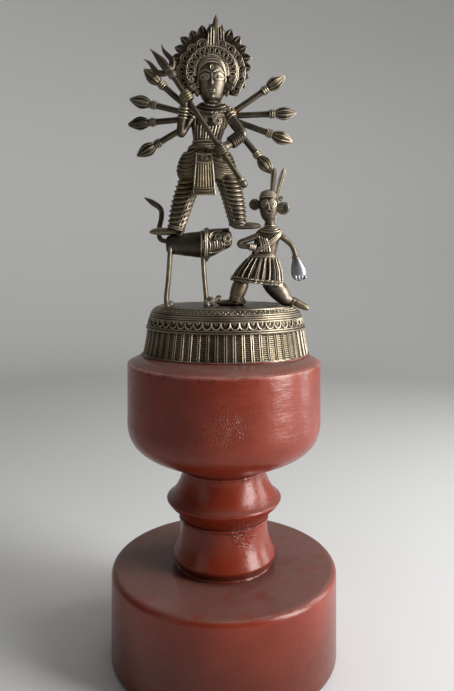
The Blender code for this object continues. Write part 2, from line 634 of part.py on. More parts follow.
def build_headdress(brass, parent, head):
    centre = Vector((NECK_X - 0.0006, 0.0, HALO_Z))
    halo_front = 0.0013
    outline = []
    for i in range(2 * HALO_TEETH - 1):
        turn = math.radians(90 - HALO_SPAN / 2 + HALO_SPAN * i / (2 * HALO_TEETH - 2))
        reach = HALO_RADIUS - HALO_TOOTH * (i % 2)
        outline.append((centre.x + reach * math.cos(turn), centre.z + reach * math.sin(turn)))
    halo = plate("halo", outline, halo_front, halo_front + HALO_THICKNESS, brass, parent)
    seat(halo, head)

    outline = arc((centre.x, centre.z), CROWN_RADIUS, -18, 198, 19)
    crown = plate("crown", outline, halo_front - SEAM - CROWN_DEPTH, halo_front - SEAM, brass, parent)
    seat(crown, head)

    half = CREST_WIDTH / 2
    foot = centre.z + CROWN_RADIUS - 0.003
    tall = CREST_HEIGHT
    outline = [(-half, foot), (half, foot), (1.05 * half, foot + 0.48 * tall),
               (0.72 * half, foot + 0.58 * tall),
               (0.42 * half, foot + 0.62 * tall), (0.0, foot + tall), (-0.42 * half, foot + 0.62 * tall),
               (-0.72 * half, foot + 0.58 * tall), (-1.05 * half, foot + 0.48 * tall)]
    outline = [(centre.x + 0.0035 + x, z) for x, z in outline]
    crest = plate("crown_crest", outline, halo_front - SEAM - CREST_THICKNESS, halo_front - SEAM, brass,
                  parent)
    seat(crest, crown)

    for side, sign in (("right", -1), ("left", 1)):
        ear = Vector((NECK_X + sign * 0.98 * HEAD_HALF_WIDTH, -0.0030, CHIN_Z + 0.371 * HEAD_HEIGHT))
        drop = ear + Vector((sign * 0.0006, 0, -EARRING_LENGTH))
        earring = limb("earring_" + side, [ear, ear.lerp(drop, 0.35), ear.lerp(drop, 0.75), drop],
                       [0.5 * EARRING_RADIUS, 0.7 * EARRING_RADIUS, EARRING_RADIUS, 0.3 * EARRING_RADIUS],
                       brass, parent, count=7)
        seat(earring, head, crown)


# Arms

def build_rear_arms(brass, parent, torso, main_arms):
    """Four arms a side, fanned out behind the shoulders, each ending in bangles and a bud-shaped hand."""
    sides = (("right", -1, RIGHT_ARM_ANGLES, RIGHT_ARM_DROPS), ("left", 1, LEFT_ARM_ANGLES, LEFT_ARM_DROPS))
    for side, sign, angles, drops in sides:
        neighbour = main_arms[side]
        for number, (angle, drop) in enumerate(zip(angles, drops), 1):
            turn = math.radians(angle)
            along = Vector((sign * math.cos(turn), 0.0, math.sin(turn)))
            shoulder = Vector((NECK_X + sign * 0.92 * SHOULDER_HALF_WIDTH, ARM_PLANE_Y, SHOULDER_Z - drop))
            arm = build_bud_arm(side + "_arm_" + str(number), shoulder, along, brass, parent)
            seat(arm, torso, neighbour)
            neighbour = arm


def build_bud_arm(name, shoulder, along, brass, parent):
    wrist = ARM_REACH - BUD_LENGTH
    bangle = wrist - BANGLE_LENGTH
    profile = [(-0.0022, ARM_RADIUS), (bangle - 0.0008, ARM_RADIUS), (bangle, BANGLE_RADIUS),
               (wrist - 0.0006, BANGLE_RADIUS), (wrist + 0.0004, ARM_RADIUS)]
    for share, radius in ((0.16, 0.78), (0.34, 1.0), (0.50, 0.98), (0.72, 0.66), (0.9, 0.28), (1.0, 0.08)):
        profile.append((wrist + share * BUD_LENGTH, radius * BUD_RADIUS))
    points = [shoulder + distance * along for distance, _ in profile]
    rings = sweep(points, [radius for _, radius in profile], LIMB_SIDES)
    return add_solid(name, skin(rings), brass, parent)


def build_main_arms(brass, parent, torso):
    """The two arms that hold the trident; a drilled fist ends each of them."""
    made = {}
    for side, sign, grip in (("right", -1, UPPER_GRIP), ("left", 1, LOWER_GRIP)):
        shoulder = Vector((NECK_X + sign * 0.72 * SHOULDER_HALF_WIDTH, -0.0038, SHOULDER_Z - 0.001))
        elbow = shoulder + Vector((sign * ELBOW_OUT, -0.005, -ELBOW_DROP))
        wrist = grip + 0.75 * FIST_RADIUS * (elbow - grip).normalized()
        bend = elbow + Vector((0, 0, -0.0015))
        thick = MAIN_ARM_RADIUS
        arm = limb(side + "_main_arm",
                   [shoulder, shoulder.lerp(elbow, 0.5), bend, bend.lerp(wrist, 0.5), wrist],
                   [thick, thick, 1.05 * thick, 1.1 * thick, thick], brass, parent, count=11)
        fist, drill = build_fist(side + "_fist", grip, brass, parent)
        seat(arm, torso, fist)
        cut(arm, drill)
        made[side] = arm
    return made


def build_fist(name, grip, brass, parent):
    """A closed hand with a hole along the trident."""
    half = FIST_LENGTH / 2
    points = [grip + share * half * GRIP_AXIS for share in (-1.0, -0.8, 0.0, 0.8, 1.0)]
    radii = [share * FIST_RADIUS for share in (0.82, 0.97, 1.06, 0.97, 0.82)]
    fist = add_solid(name, skin(sweep(points, radii, LIMB_SIDES)), brass, parent)
    drill = round_tool(name + "_drill", grip - 2 * FIST_LENGTH * GRIP_AXIS,
                       grip + 2 * FIST_LENGTH * GRIP_AXIS,
                       TRIDENT_RADIUS + ROD_CLEARANCE, parent)
    cut(fist, drill)
    return fist, drill


# Trident

def build_trident(brass, parent):
    tang = 0.6 * KNOB_LENGTH
    across = Vector((GRIP_AXIS.z, 0.0, -GRIP_AXIS.x))
    deep = Vector((0.0, 1.0, 0.0))
    ends = (KNOB_TOP - tang * GRIP_AXIS, HEAD_FOOT + tang * GRIP_AXIS)
    rings = [oval(point, TRIDENT_RADIUS * across, TRIDENT_RADIUS * deep, 12) for point in ends]
    shaft = add_solid("trident_shaft", skin(rings), brass, parent)

    knob_profile = ((0.0, 0.75), (0.12, 0.95), (0.3, 0.85), (0.45, 1.0), (0.75, 1.0), (0.92, 0.75),
                    (1.0, 0.4))
    points = [KNOB_TOP - share * KNOB_LENGTH * GRIP_AXIS for share, _ in knob_profile]
    rings = sweep(points, [share * KNOB_RADIUS for _, share in knob_profile], LIMB_SIDES)
    knob = add_solid("trident_knob", skin(rings), brass, parent)
    seat(knob, shaft)

    collar = [HEAD_FOOT + share * TRIDENT_PRONG * GRIP_AXIS for share in (0.0, 0.05, 0.22, 0.30)]
    collar_radii = [share * TRIDENT_RADIUS for share in (1.45, 1.7, 1.5, 1.3)]
    head = add_solid("trident_head", skin(sweep(collar, collar_radii, 12)), brass, parent)
    fork = build_fork(across, deep, parent)
    join = head.modifiers.new("fork", "BOOLEAN")
    join.operation = "UNION"
    join.object = fork
    seat(head, shaft)


def build_fork(across, deep, parent):
    """The three-pronged blade as a flat outline with curved outer prongs, leaning a little off the rod."""
    half = TRIDENT_SPAN / 2
    side = [(0.30, 0.20), (0.78, 0.32), (1.0, 0.45), (1.0, 0.62), (0.92, 0.92),
            (0.68, 0.70), (0.56, 0.55), (0.33, 0.45), (0.28, 0.56), (0.24, 0.68)]
    outline = side + [(0.0, 1.0)] + [(-x, share) for x, share in reversed(side)]
    lean = math.radians(TRIDENT_FORK_LEAN)
    along = math.cos(lean) * GRIP_AXIS - math.sin(lean) * across
    aside = math.cos(lean) * across + math.sin(lean) * GRIP_AXIS
    rings = []
    for y in (-0.5, 0.5):
        rings.append([HEAD_FOOT + x * half * aside + share * TRIDENT_PRONG * along + y * TRIDENT_PLATE * deep
                      for x, share in outline])
    fork = add_solid("fork_tool", skin(rings), None, parent)
    hide(fork)
    return fork


# Demon

def build_demon(brass, parent, base):
    waist_x = DEMON_X - DEMON_LEAN
    torso_levels = []
    for share, blend, deep in ((0.0, 0.0, 0.95), (0.35, 0.1, 1.0), (0.65, 0.75, 1.1), (0.82, 1.0, 1.0)):
        wide = DEMON_WAIST_HALF_WIDTH + blend * (DEMON_SHOULDER_HALF_WIDTH - DEMON_WAIST_HALF_WIDTH)
        torso_levels.append((DEMON_WAIST_Z + share * DEMON_TORSO_HEIGHT, waist_x + share * DEMON_LEAN, 0.0,
                             wide, deep * DEMON_HALF_DEPTH))
    torso_levels.append((DEMON_TOP - SEAM, DEMON_X, 0.0, 0.62 * DEMON_SHOULDER_HALF_WIDTH,
                         0.85 * DEMON_HALF_DEPTH))
    torso = column("demon_torso", torso_levels, brass, parent)

    head_levels = [(DEMON_TOP, DEMON_X, 0.0, DEMON_NECK_RADIUS, DEMON_NECK_RADIUS),
                   (DEMON_CHIN_Z, DEMON_X - 0.0004, 0.0, DEMON_NECK_RADIUS, DEMON_NECK_RADIUS)]
    for share, wide in ((0.10, 0.70), (0.32, 0.94), (0.55, 1.0), (0.78, 0.90), (0.93, 0.60), (1.0, 0.2)):
        head_levels.append((DEMON_CHIN_Z + share * DEMON_HEAD_HEIGHT, DEMON_X - 0.001, -0.0005,
                            wide * DEMON_HEAD_HALF_WIDTH, 0.95 * wide * DEMON_HEAD_HALF_WIDTH))
    head = column("demon_head", head_levels, brass, parent)
    build_demon_ornaments(brass, parent, head)
    skirt = build_skirt(waist_x, brass, parent)
    build_demon_legs(waist_x, brass, parent, skirt, base)
    right_arm = build_demon_arms(brass, parent, torso, skirt)
    return torso, right_arm


def build_demon_ornaments(brass, parent, head):
    """A round ear plate on each side, and two feathers on the crown of the head."""
    for side, sign, size, lift in (("right", -1, 0.94, 0.52), ("left", 1, 1.06, 0.40)):
        radius = size * DEMON_DISC_RADIUS
        centre = Vector((DEMON_X - 0.001 + sign * (DEMON_HEAD_HALF_WIDTH + 0.80 * radius), 0.0,
                         DEMON_CHIN_Z + lift * DEMON_HEAD_HEIGHT))
        outline = arc((centre.x, centre.z), radius, 0, 337.5, 16)
        disc = plate("demon_ear_plate_" + side, outline, -DEMON_DISC_THICKNESS, 0.0, brass, parent)
        seat(disc, head)
    crown = DEMON_CHIN_Z + 0.86 * DEMON_HEAD_HEIGHT
    for side, foot_x, lean in (("right", 0.0014, 0.0018), ("left", 0.0046, 0.0062)):
        foot = Vector((DEMON_X + foot_x, -0.002, crown - 0.8 * foot_x))
        tip = foot + Vector((lean, 0.0, crown + DEMON_FEATHER_LENGTH - foot.z))
        thick = DEMON_FEATHER_RADIUS
        feather = limb("demon_feather_" + side, [foot, foot.lerp(tip, 0.3), foot.lerp(tip, 0.8), tip],
                       [0.7 * thick, 0.8 * thick, thick, 0.25 * thick], brass, parent, count=7, flat=0.6)
        seat(feather, head)


def build_skirt(waist_x, brass, parent):
    """A pleated bell skirt whose hem slopes down towards the rear leg."""
    count = 2 * DEMON_SKIRT_PLEATS
    slope = math.tan(math.radians(DEMON_SKIRT_TILT))
    rings = []
    for share, spread, pleat in ((0.0, 0.0, 0.0), (0.14, 0.22, 0.5), (0.55, 0.74, 1.0), (0.9, 1.0, 1.0),
                                 (1.0, 1.0, 0.0)):
        wide = DEMON_WAIST_HALF_WIDTH + spread * (DEMON_SKIRT_HALF_WIDTH - DEMON_WAIST_HALF_WIDTH)
        deep = DEMON_HALF_DEPTH + spread * (DEMON_SKIRT_HALF_DEPTH - DEMON_HALF_DEPTH)
        ring = []
        for i in range(count):
            turn = 2 * math.pi * i / count
            fold = pleat * PLEAT_DEPTH * (i % 2)
            x = (wide - fold) * math.cos(turn)
            height = DEMON_WAIST_Z - SEAM - share * (DEMON_SKIRT_HEIGHT + slope * x)
            ring.append(Vector((waist_x - share * DEMON_LEAN + x, (deep - fold) * math.sin(turn), height)))
        rings.append(ring)
    return add_solid("demon_skirt", skin(rings), brass, parent)


def build_demon_legs(waist_x, brass, parent, skirt, base):
    """The bent front leg and the trailing rear leg, each with its own foot."""
    thick = DEMON_THIGH_RADIUS
    foot_thick = DEMON_FOOT_RADIUS
    hem_x = waist_x - DEMON_LEAN
    heel = Vector((hem_x - 0.0130, -0.003, base_height_at(hem_x - 0.013, -0.003) + 0.6 * foot_thick))
    front_foot = limb("demon_front_foot",
                      [heel + Vector((0.0030, 0, 0.0004)), heel + Vector((-0.0060, 0, 0.0002)),
                       heel + Vector((-0.0140, 0, 0.0004)), heel + Vector((-0.0172, 0, 0.0034))],
                      [0.7 * foot_thick, foot_thick, 0.8 * foot_thick, 0.4 * foot_thick], brass, parent)
    seat(front_foot, base)
    front_leg = limb("demon_front_leg",
                     [Vector((hem_x - 0.0085, -0.002, DEMON_HEM_Z + 0.005)),
                      Vector((hem_x - 0.0120, -0.002, DEMON_HEM_Z - 0.001)),
                      Vector((hem_x - 0.0145, -0.0025, DEMON_HEM_Z - 0.5 * DEMON_LEG_LENGTH)),
                      heel + Vector((-0.0035, 0, 0.0008))],
                     [0.5 * thick, 0.92 * thick, 0.86 * thick, 0.62 * thick], brass, parent)
    seat(front_leg, skirt, front_foot, base)

    knee_x = hem_x + 0.0195
    knee = Vector((knee_x, -0.001, base_height_at(knee_x, -0.001) + 0.86 * thick))
    ankle = knee + Vector((0.0078, -0.0005, -0.0026))
    rear_leg = limb("demon_rear_leg",
                    [Vector((hem_x + 0.0095, 0.0, DEMON_HEM_Z + 0.002)),
                     knee.lerp(Vector((knee_x - 0.006, 0, DEMON_HEM_Z)), 0.4),
                     knee, ankle],
                    [1.12 * thick, 1.1 * thick, 0.86 * thick, 0.42 * thick], brass, parent)
    rear_foot = limb("demon_rear_foot",
                     [ankle + Vector((-0.0012, 0, 0.0022)), ankle + Vector((0.0020, 0, 0.0)),
                      ankle + Vector((0.0068, 0, -0.0030)), ankle + Vector((0.0112, 0, -0.0050))],
                     [0.9 * foot_thick, foot_thick, 0.92 * foot_thick, 0.66 * foot_thick], brass, parent)
    seat(rear_foot, base)
    seat(rear_leg, skirt, base, rear_foot)


def build_demon_arms(brass, parent, torso, skirt):
    """The right arm is bent with its hand on the waist; the left hangs and ends in an open palm."""
    thick = DEMON_ARM_RADIUS
    start = DEMON_RIGHT_SHOULDER + Vector((0.003, -0.001, -0.001))
    elbow = DEMON_RIGHT_SHOULDER + Vector((-0.0140, -0.0035, -0.0075))
    hand = DEMON_RIGHT_SHOULDER + Vector((-0.0010, -0.0050, -0.0115))
    right_arm = limb("demon_right_arm",
                     [start, start.lerp(elbow, 0.55), elbow + Vector((0.0012, 0, 0.0010)),
                      elbow + Vector((0.0012, -0.0005, -0.0016)), elbow.lerp(hand, 0.6), hand],
                     [1.2 * thick, 1.1 * thick, thick, thick, thick, 1.1 * thick], brass, parent, count=16)
    seat(right_arm, torso, skirt)

    start = DEMON_LEFT_SHOULDER + Vector((-0.003, 0, -0.001))
    elbow = DEMON_LEFT_SHOULDER + Vector((0.0072, -0.001, -0.0100))
    wrist = DEMON_LEFT_SHOULDER + Vector((0.0095, -0.0015, -0.0190))
    left_arm = limb("demon_left_arm", [start, start.lerp(elbow, 0.4), elbow, wrist],
                    [1.2 * thick, thick, 0.9 * thick, 0.9 * thick], brass, parent)
    seat(left_arm, torso)
    tip = wrist + Vector((0.0030, -0.0005, -DEMON_PALM_LENGTH))
    palm = limb("demon_left_hand",
                [wrist + Vector((0, 0, 0.001)), wrist.lerp(tip, 0.25), wrist.lerp(tip, 0.6), tip],
                [0.55 * DEMON_PALM_RADIUS, 0.75 * DEMON_PALM_RADIUS, DEMON_PALM_RADIUS,
                 0.55 * DEMON_PALM_RADIUS],
                brass, parent, count=8, flat=0.5)
    seat(palm, left_arm)
    return right_arm


def main():
    clear_scene()
    brass = finish("aged_brass", (0.33, 0.27, 0.17), 1.0, 0.42)
    paint = finish("red_oxide_paint", (0.29, 0.075, 0.05), 0.0, 0.40)
    bare_wood = finish("bare_wood", (0.45, 0.30, 0.17), 0.0, 0.70)

    stand = bpy.data.objects.new("stand_origin", None)
    idol = bpy.data.objects.new("idol_origin", None)
    for empty in (stand, idol):
        bpy.context.scene.collection.objects.link(empty)
    idol.location = (0.0, 0.0, STAND_TOP)

    build_stand(paint, bare_wood, stand)
    base = build_base(brass, idol)
    lion_body, lion_head = build_lion(brass, idol, base)
    demon_torso, demon_right_arm = build_demon(brass, idol, base)
    seat(lion_head, demon_right_arm)
    torso, head = build_goddess(brass, idol, lion_body, demon_torso, demon_right_arm)
    build_headdress(brass, idol, head)
    main_arms = build_main_arms(brass, idol, torso)
    build_rear_arms(brass, idol, torso, main_arms)
    build_trident(brass, idol)


main()
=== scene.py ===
# %% [markdown]
# # A cast brass goddess group on a painted stand
# The frame is the packed solid model. Everything here is measured in its own metres, so each new
# surface is drawn where its solid already stands. The figures are lost-wax castings: the maker coats a
# core with wax, then lays thin wax wires on it, and the metal copies every wire.
# %% Load the frame
import math

import bmesh
import bpy
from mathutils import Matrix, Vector, noise
from mathutils.bvhtree import BVHTree


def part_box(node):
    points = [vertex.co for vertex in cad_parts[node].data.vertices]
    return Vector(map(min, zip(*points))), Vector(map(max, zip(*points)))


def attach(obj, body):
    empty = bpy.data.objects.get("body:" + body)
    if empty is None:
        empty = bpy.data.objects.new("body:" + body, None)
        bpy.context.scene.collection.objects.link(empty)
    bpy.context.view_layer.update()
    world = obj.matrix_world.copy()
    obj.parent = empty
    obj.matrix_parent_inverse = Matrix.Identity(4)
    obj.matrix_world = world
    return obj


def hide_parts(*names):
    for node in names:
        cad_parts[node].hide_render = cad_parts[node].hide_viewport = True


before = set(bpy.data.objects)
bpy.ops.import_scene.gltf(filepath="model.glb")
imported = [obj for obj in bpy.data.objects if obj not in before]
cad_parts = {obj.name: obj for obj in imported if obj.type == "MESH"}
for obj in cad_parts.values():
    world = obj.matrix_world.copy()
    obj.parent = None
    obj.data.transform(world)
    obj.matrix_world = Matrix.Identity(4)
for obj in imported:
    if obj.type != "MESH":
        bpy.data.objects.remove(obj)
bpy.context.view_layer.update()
STAND_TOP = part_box("stand_cup")[1].z

# %% [markdown]
# ## Camera
# The picture was taken from close by with a level camera, because the stand's sides stay upright while
# its round faces open as they go down. Tilting the camera would make those sides lean. So it stays
# level here, and a small vertical shift of the lens gives the framing.
# %% Camera
IMAGE_HEIGHT = 691
FOCAL_PIXELS = 640.0
HORIZON_ROW = 254.0
SENSOR_WIDTH = 36.0
EYE = (0.00225, -0.480, 0.293)

lens = bpy.data.cameras.new("photo_camera")
lens.sensor_width = SENSOR_WIDTH
lens.lens = SENSOR_WIDTH * FOCAL_PIXELS / IMAGE_HEIGHT
lens.shift_y = (HORIZON_ROW - IMAGE_HEIGHT / 2) / IMAGE_HEIGHT
lens.clip_start = 0.01
camera = bpy.data.objects.new("photo_camera", lens)
camera.location = EYE
camera.rotation_euler = (math.pi / 2, 0, 0)
bpy.context.scene.collection.objects.link(camera)
bpy.context.scene.camera = camera
bpy.context.scene.view_settings.view_transform = "Standard"
print("lens", round(lens.lens, 2), "mm, shift", round(lens.shift_y, 4))

# %% [markdown]
# ## Light
# The light in the picture is soft and comes from the right. One wide lamp would light everything
# evenly. Two tall lamps with a gap between them leave a split highlight on the gloss paint instead, as
# the picture has. A weak lamp fills from the left, one hangs above, and a pale world does the rest.
# %% Lamps
DAYLIGHT = (0.95, 0.965, 1.0)
# Each row: name, place, height that it points at, width and height, watts, colour.
LAMPS = (
    ("tall_right", (0.95, -0.38, 0.52), 0.24, (0.46, 1.0), 19.6, DAYLIGHT),
    ("tall_far_right", (0.95, 0.22, 0.42), 0.24, (0.30, 0.9), 4.6, DAYLIGHT),
    ("fill_left", (-0.9, -0.7, 0.55), 0.25, (0.5, 0.9), 0.6, (0.96, 0.98, 1.0)),
    ("soft_above", (0.1, 0.1, 1.15), 0.25, (0.6, 0.6), 2.4, (1.0, 1.0, 1.0)),
)
for name, place, aim, size, watts, colour in LAMPS:
    lamp = bpy.data.lights.new(name, "AREA")
    lamp.shape = "RECTANGLE"
    lamp.size, lamp.size_y = size
    lamp.energy = watts
    lamp.color = colour
    holder = bpy.data.objects.new(name, lamp)
    holder.location = place
    holder.rotation_euler = (Vector((0.0, 0.0, aim)) - Vector(place)).to_track_quat("-Z", "Y").to_euler()
    bpy.context.scene.collection.objects.link(holder)

world = bpy.data.worlds.new("pale_room")
world.use_nodes = True
room_light = world.node_tree.nodes["Background"]
room_light.inputs["Color"].default_value = (0.62, 0.62, 0.60, 1.0)
room_light.inputs["Strength"].default_value = 0.22
bpy.context.scene.world = world
print("lamps:", [row[0] for row in LAMPS])

# %% [markdown]
# ## Nodes in short calls
# Every finish here is a node tree that reads Object coordinates, so its pattern has a real size and
# stays on its piece. Each tree could be wired node by node, but then every link takes a line. So one
# function adds a node together with all that it is fed with.
# %% Wiring a node


def feed(tree, socket, value):
    """Links an input to an output, or sets it to a plain value."""
    if isinstance(value, bpy.types.NodeSocket):
        tree.links.new(value, socket)
    else:
        socket.default_value = value


def wired(tree, kind, *values, settings=None, **sockets):
    """A new node whose inputs are fed in order or by name; gives its outputs."""
    node = tree.nodes.new(kind)
    for key, value in (settings or {}).items():
        setattr(node, key, value)
    named = [(node.inputs[key.replace("_", " ")], value) for key, value in sockets.items()]
    for socket, value in [*zip(node.inputs, values), *named]:
        feed(tree, socket, value)
    return node.outputs


def worked_out(tree, operation, *values):
    """The sum, product or quotient of two values inside a tree."""
    return wired(tree, "ShaderNodeMath", *values, settings={"operation": operation})["Value"]


print("node helpers:", [helper.__name__ for helper in (feed, wired, worked_out)])

# %% [markdown]
# ## Steps of a finish
# Paint, brass, wood and wall are built from the same few steps: noise, a value mapped from one span to
# another, a mix of two colours, the hollows of a shape. They could be written out for each material. A
# small class names them once, and keeps the material and its tree together.
# %% Steps of a finish


class Finish:
    """A node material with short calls for the steps that the finishes share."""

    def __init__(self, name):
        self.material = bpy.data.materials.new(name)
        self.material.use_nodes = True
        self.tree = self.material.node_tree
        self.place = self.node("ShaderNodeTexCoord")["Object"]

    def node(self, kind, *values, settings=None, **sockets):
        return wired(self.tree, kind, *values, settings=settings, **sockets)

    def grain(self, scale, detail=3.0, rough=0.55, stretch=None):
        """Noise; a stretch squeezes it along the axes with the larger numbers."""
        place = self.place
        if stretch:
            place = self.node("ShaderNodeMapping", Vector=place, Scale=stretch)["Vector"]
        speckle = self.node("ShaderNodeTexNoise", Vector=place, Scale=scale, Detail=detail, Roughness=rough)
        return speckle["Fac"]

    def span(self, value, low, high, out_low=0.0, out_high=1.0):
        """A value mapped from low and high to out_low and out_high, and held there beyond them."""
        return self.node("ShaderNodeMapRange", value, low, high, out_low, out_high)["Result"]

    def times(self, first, second):
        return worked_out(self.tree, "MULTIPLY", first, second)

    def plus(self, first, second):
        return worked_out(self.tree, "ADD", first, second)

    def band(self, value, start, full, full_end, end):
        """1 from full to full_end, sinking to 0 at start and at end."""
        return self.times(self.span(value, start, full), self.span(value, end, full_end))

    def vectors(self, operation, *values):
        return self.node("ShaderNodeVectorMath", *values, settings={"operation": operation})

    def height(self, vector):
        return self.node("ShaderNodeSeparateXYZ", vector)["Z"]

    def mix(self, share, first, second):
        """The first colour at a share of 0, the second at 1."""
        one, other = ((*c, 1.0) if isinstance(c, tuple) else c for c in (first, second))
        settings = {"data_type": "RGBA"}
        return self.node("ShaderNodeMix", settings=settings, Factor=share, A=one, B=other)["Result"]

    def hollow(self, distance, inside=False):
        """How open a place is within a distance; inside looks into the metal, where ridges are open."""
        settings = {"samples": 8, "inside": inside}
        return self.node("ShaderNodeAmbientOcclusion", settings=settings, Distance=distance)["AO"]

    def bump(self, heights, distance, strength):
        """Relief for the shader's body and for the clear coat over it."""
        relief = self.node("ShaderNodeBump", Strength=strength, Distance=distance, Height=heights)["Normal"]
        self.set(Normal=relief, Coat_Normal=relief)

    def set(self, **sockets):
        """Sets or links the shader's own sockets."""
        shader = self.tree.nodes["Principled BSDF"]
        for key, value in sockets.items():
            feed(self.tree, shader.inputs[key.replace("_", " ")], value)


print("steps for finishes:", [step for step in vars(Finish) if not step.startswith("_")])

# %% [markdown]
# ## Floor and wall
# Floor and wall are one round sheet that curves up on every side. A flat plane would end in a hard line
# behind the object. Painted shade darkens the sheet towards the near left, away from the light, which
# gives the metal something dark to mirror.
# %% Backdrop
SPOKES = 72
BEND_START, BEND_RADIUS, SHEET_TOP = 1.1, 0.5, 2.2
FLOOR_GAP = 0.0004
TOWARDS_LIGHT = (0.55, 0.83, 0.0)
WALL_PALE, WALL_PAINTED_SHADE = (0.68, 0.67, 0.65), (0.13, 0.13, 0.125)


def full_turn(count):
    """Evenly spaced angles round a circle."""
    return [2 * math.pi * k / count for k in range(count)]


def strips(bm, loops):
    """Side faces from each closed loop of vertices to the next."""
    for lower, upper in zip(loops, loops[1:]):
        for i in range(len(lower)):
            j = (i + 1) % len(lower)
            bm.faces.new((lower[i], lower[j], upper[j], upper[i]))


def mesh_of(bm, name):
    """The mesh that a bmesh holds."""
    mesh = bpy.data.meshes.new(name)
    bm.to_mesh(mesh)
    bm.free()
    return mesh


sheet = [(0.001, 0.0), (0.3, 0.0), (0.7, 0.0), (BEND_START, 0.0)]
for degrees in range(9, 91, 9):
    bend = math.radians(degrees)
    sheet.append((BEND_START + BEND_RADIUS * math.sin(bend), BEND_RADIUS * (1 - math.cos(bend))))
sheet.append((BEND_START + BEND_RADIUS, SHEET_TOP))
bm = bmesh.new()
strips(bm, [[bm.verts.new((reach * math.cos(t), reach * math.sin(t), z - FLOOR_GAP))
             for t in full_turn(SPOKES)] for reach, z in sheet])
bmesh.ops.recalc_face_normals(bm, faces=bm.faces)
bmesh.ops.reverse_faces(bm, faces=bm.faces)
backdrop_mesh = mesh_of(bm, "backdrop")
backdrop_mesh.shade_smooth()
backdrop = bpy.data.objects.new("backdrop", backdrop_mesh)
bpy.context.scene.collection.objects.link(backdrop)

wall = Finish("pale_wall")
lit = wall.vectors("DOT_PRODUCT", wall.place, TOWARDS_LIGHT)["Value"]
# Painted shade: the sheet's colour darkens as it rises and turns away from the light, while the floor stays
# pale.
shade = wall.times(wall.span(wall.height(wall.place), 0.02, 0.36), wall.span(lit, 0.70, -0.50))
wall.set(Base_Color=wall.mix(shade, WALL_PALE, WALL_PAINTED_SHADE), Roughness=0.9)
backdrop_mesh.materials.append(wall.material)
print("backdrop:", len(sheet), "rings of", SPOKES)

# %% [markdown]
# ## Brass
# Old brass is dark brown where dirt stays in the hollows, olive on the open skin and yellow where hands
# and cloth rub the ridges. A picture texture could hold that, but it would fit one piece only. Ambient
# Occlusion finds the hollows of any shape, the same node turned inside finds the ridges, and slow noise
# varies the skin between them.
# %% Brass
GOLDEN_SHARE = (1.09, 1.0, 0.78)
DULL_SHARE, STAINED_SHARE = 0.55, 0.38
RIDGE_REACH = 0.0011


def brass_finish(name, dirt, skin, worn, polish=0.0, reach=0.0026):
    """Aged brass: dirt in hollows narrower than reach, skin on open metal, worn on ridges."""
    brass = Finish(name)
    stain = brass.grain(210.0, 4.0, 0.6)
    golden = tuple(share * c for share, c in zip(GOLDEN_SHARE, skin))
    dull, stained = (tuple(share * c for c in skin) for share in (DULL_SHARE, STAINED_SHARE))
    colour = brass.mix(brass.span(brass.grain(34.0, 1.0), 0.40, 0.60), skin, golden)
    colour = brass.mix(brass.span(brass.grain(75.0, 4.0), 0.38, 0.64), dull, colour)
    colour = brass.mix(brass.span(stain, 0.52, 0.74, 0.0, 0.6), colour, stained)
    ridges = brass.span(brass.hollow(RIDGE_REACH, inside=True), 0.90, 0.45)
    rubbed = brass.times(ridges, brass.span(brass.grain(42.0, 2.0), 0.30, 0.60))
    colour = brass.mix(brass.times(rubbed, 0.8), colour, worn)
    colour = brass.mix(brass.span(brass.hollow(reach), 0.36, 0.92), dirt, colour)
    rough = brass.plus(brass.times(stain, 0.30), 0.26 - polish)
    brass.set(Base_Color=colour, Metallic=0.9, Roughness=rough)
    brass.bump(brass.plus(brass.grain(1100.0, 3.0, 0.6), brass.times(stain, 2.2)), 0.00012, 0.6)
    return brass.material


BRASS = brass_finish("aged_brass", (0.009, 0.007, 0.005), (0.215, 0.178, 0.132), (0.46, 0.385, 0.28))
BRASS_WARM = brass_finish("rubbed_brass", (0.014, 0.010, 0.005), (0.220, 0.172, 0.102),
                          (0.44, 0.355, 0.215), polish=0.02)
# Dark brass is partly the metal's own darker patina and partly painted shade: it goes on pieces that sit in
# shade, such as the halo plate.
BRASS_DARK_AND_SHADED = brass_finish("dark_and_shaded_brass", (0.004, 0.003, 0.002), (0.115, 0.092, 0.069), (0.34, 0.28, 0.205))
BRASS_WIRE = brass_finish("wire_brass", (0.020, 0.015, 0.009), (0.260, 0.216, 0.158),
                          (0.47, 0.395, 0.285), polish=0.02, reach=0.0010)
BRASS_GREY = brass_finish("bare_grey_metal", (0.05, 0.05, 0.05), (0.33, 0.33, 0.34),
                          (0.52, 0.52, 0.53), polish=0.02)
print("metals:", [m.name for m in (BRASS, BRASS_WARM, BRASS_DARK_AND_SHADED, BRASS_WIRE, BRASS_GREY)])

# %% [markdown]
# ## Colour of the paint
# The wooden stand has a thick coat of red oxide gloss. One red would look like plastic, so the colour
# is laid in layers, the real ones in the order in which they came about: two reds of the coat, stains,
# dust on what faces up, a rubbed rim and chips under it. Painted shade near the floor and in the grooves goes
# over them.
# %% Paint colour
RED_DEEP, RED_OPEN, RED_STAIN = (0.158, 0.014, 0.004), (0.222, 0.028, 0.011), (0.110, 0.022, 0.013)
DUST, RUBBED_RIM, CHIP = (0.152, 0.074, 0.060), (0.400, 0.150, 0.115), (0.045, 0.012, 0.008)
LOW_PAINTED_SHADE, GROOVE_PAINTED_SHADE = (0.070, 0.009, 0.003), (0.075, 0.014, 0.008)
RIM_BAND = [STAND_TOP - drop for drop in (0.0060, 0.0048, 0.0037, 0.0030)]
CHIP_BAND = [STAND_TOP - drop for drop in (0.0105, 0.0060, 0.0052, 0.0042)]
SHADE_TOP, SHADE_FULL = 0.060, 0.022


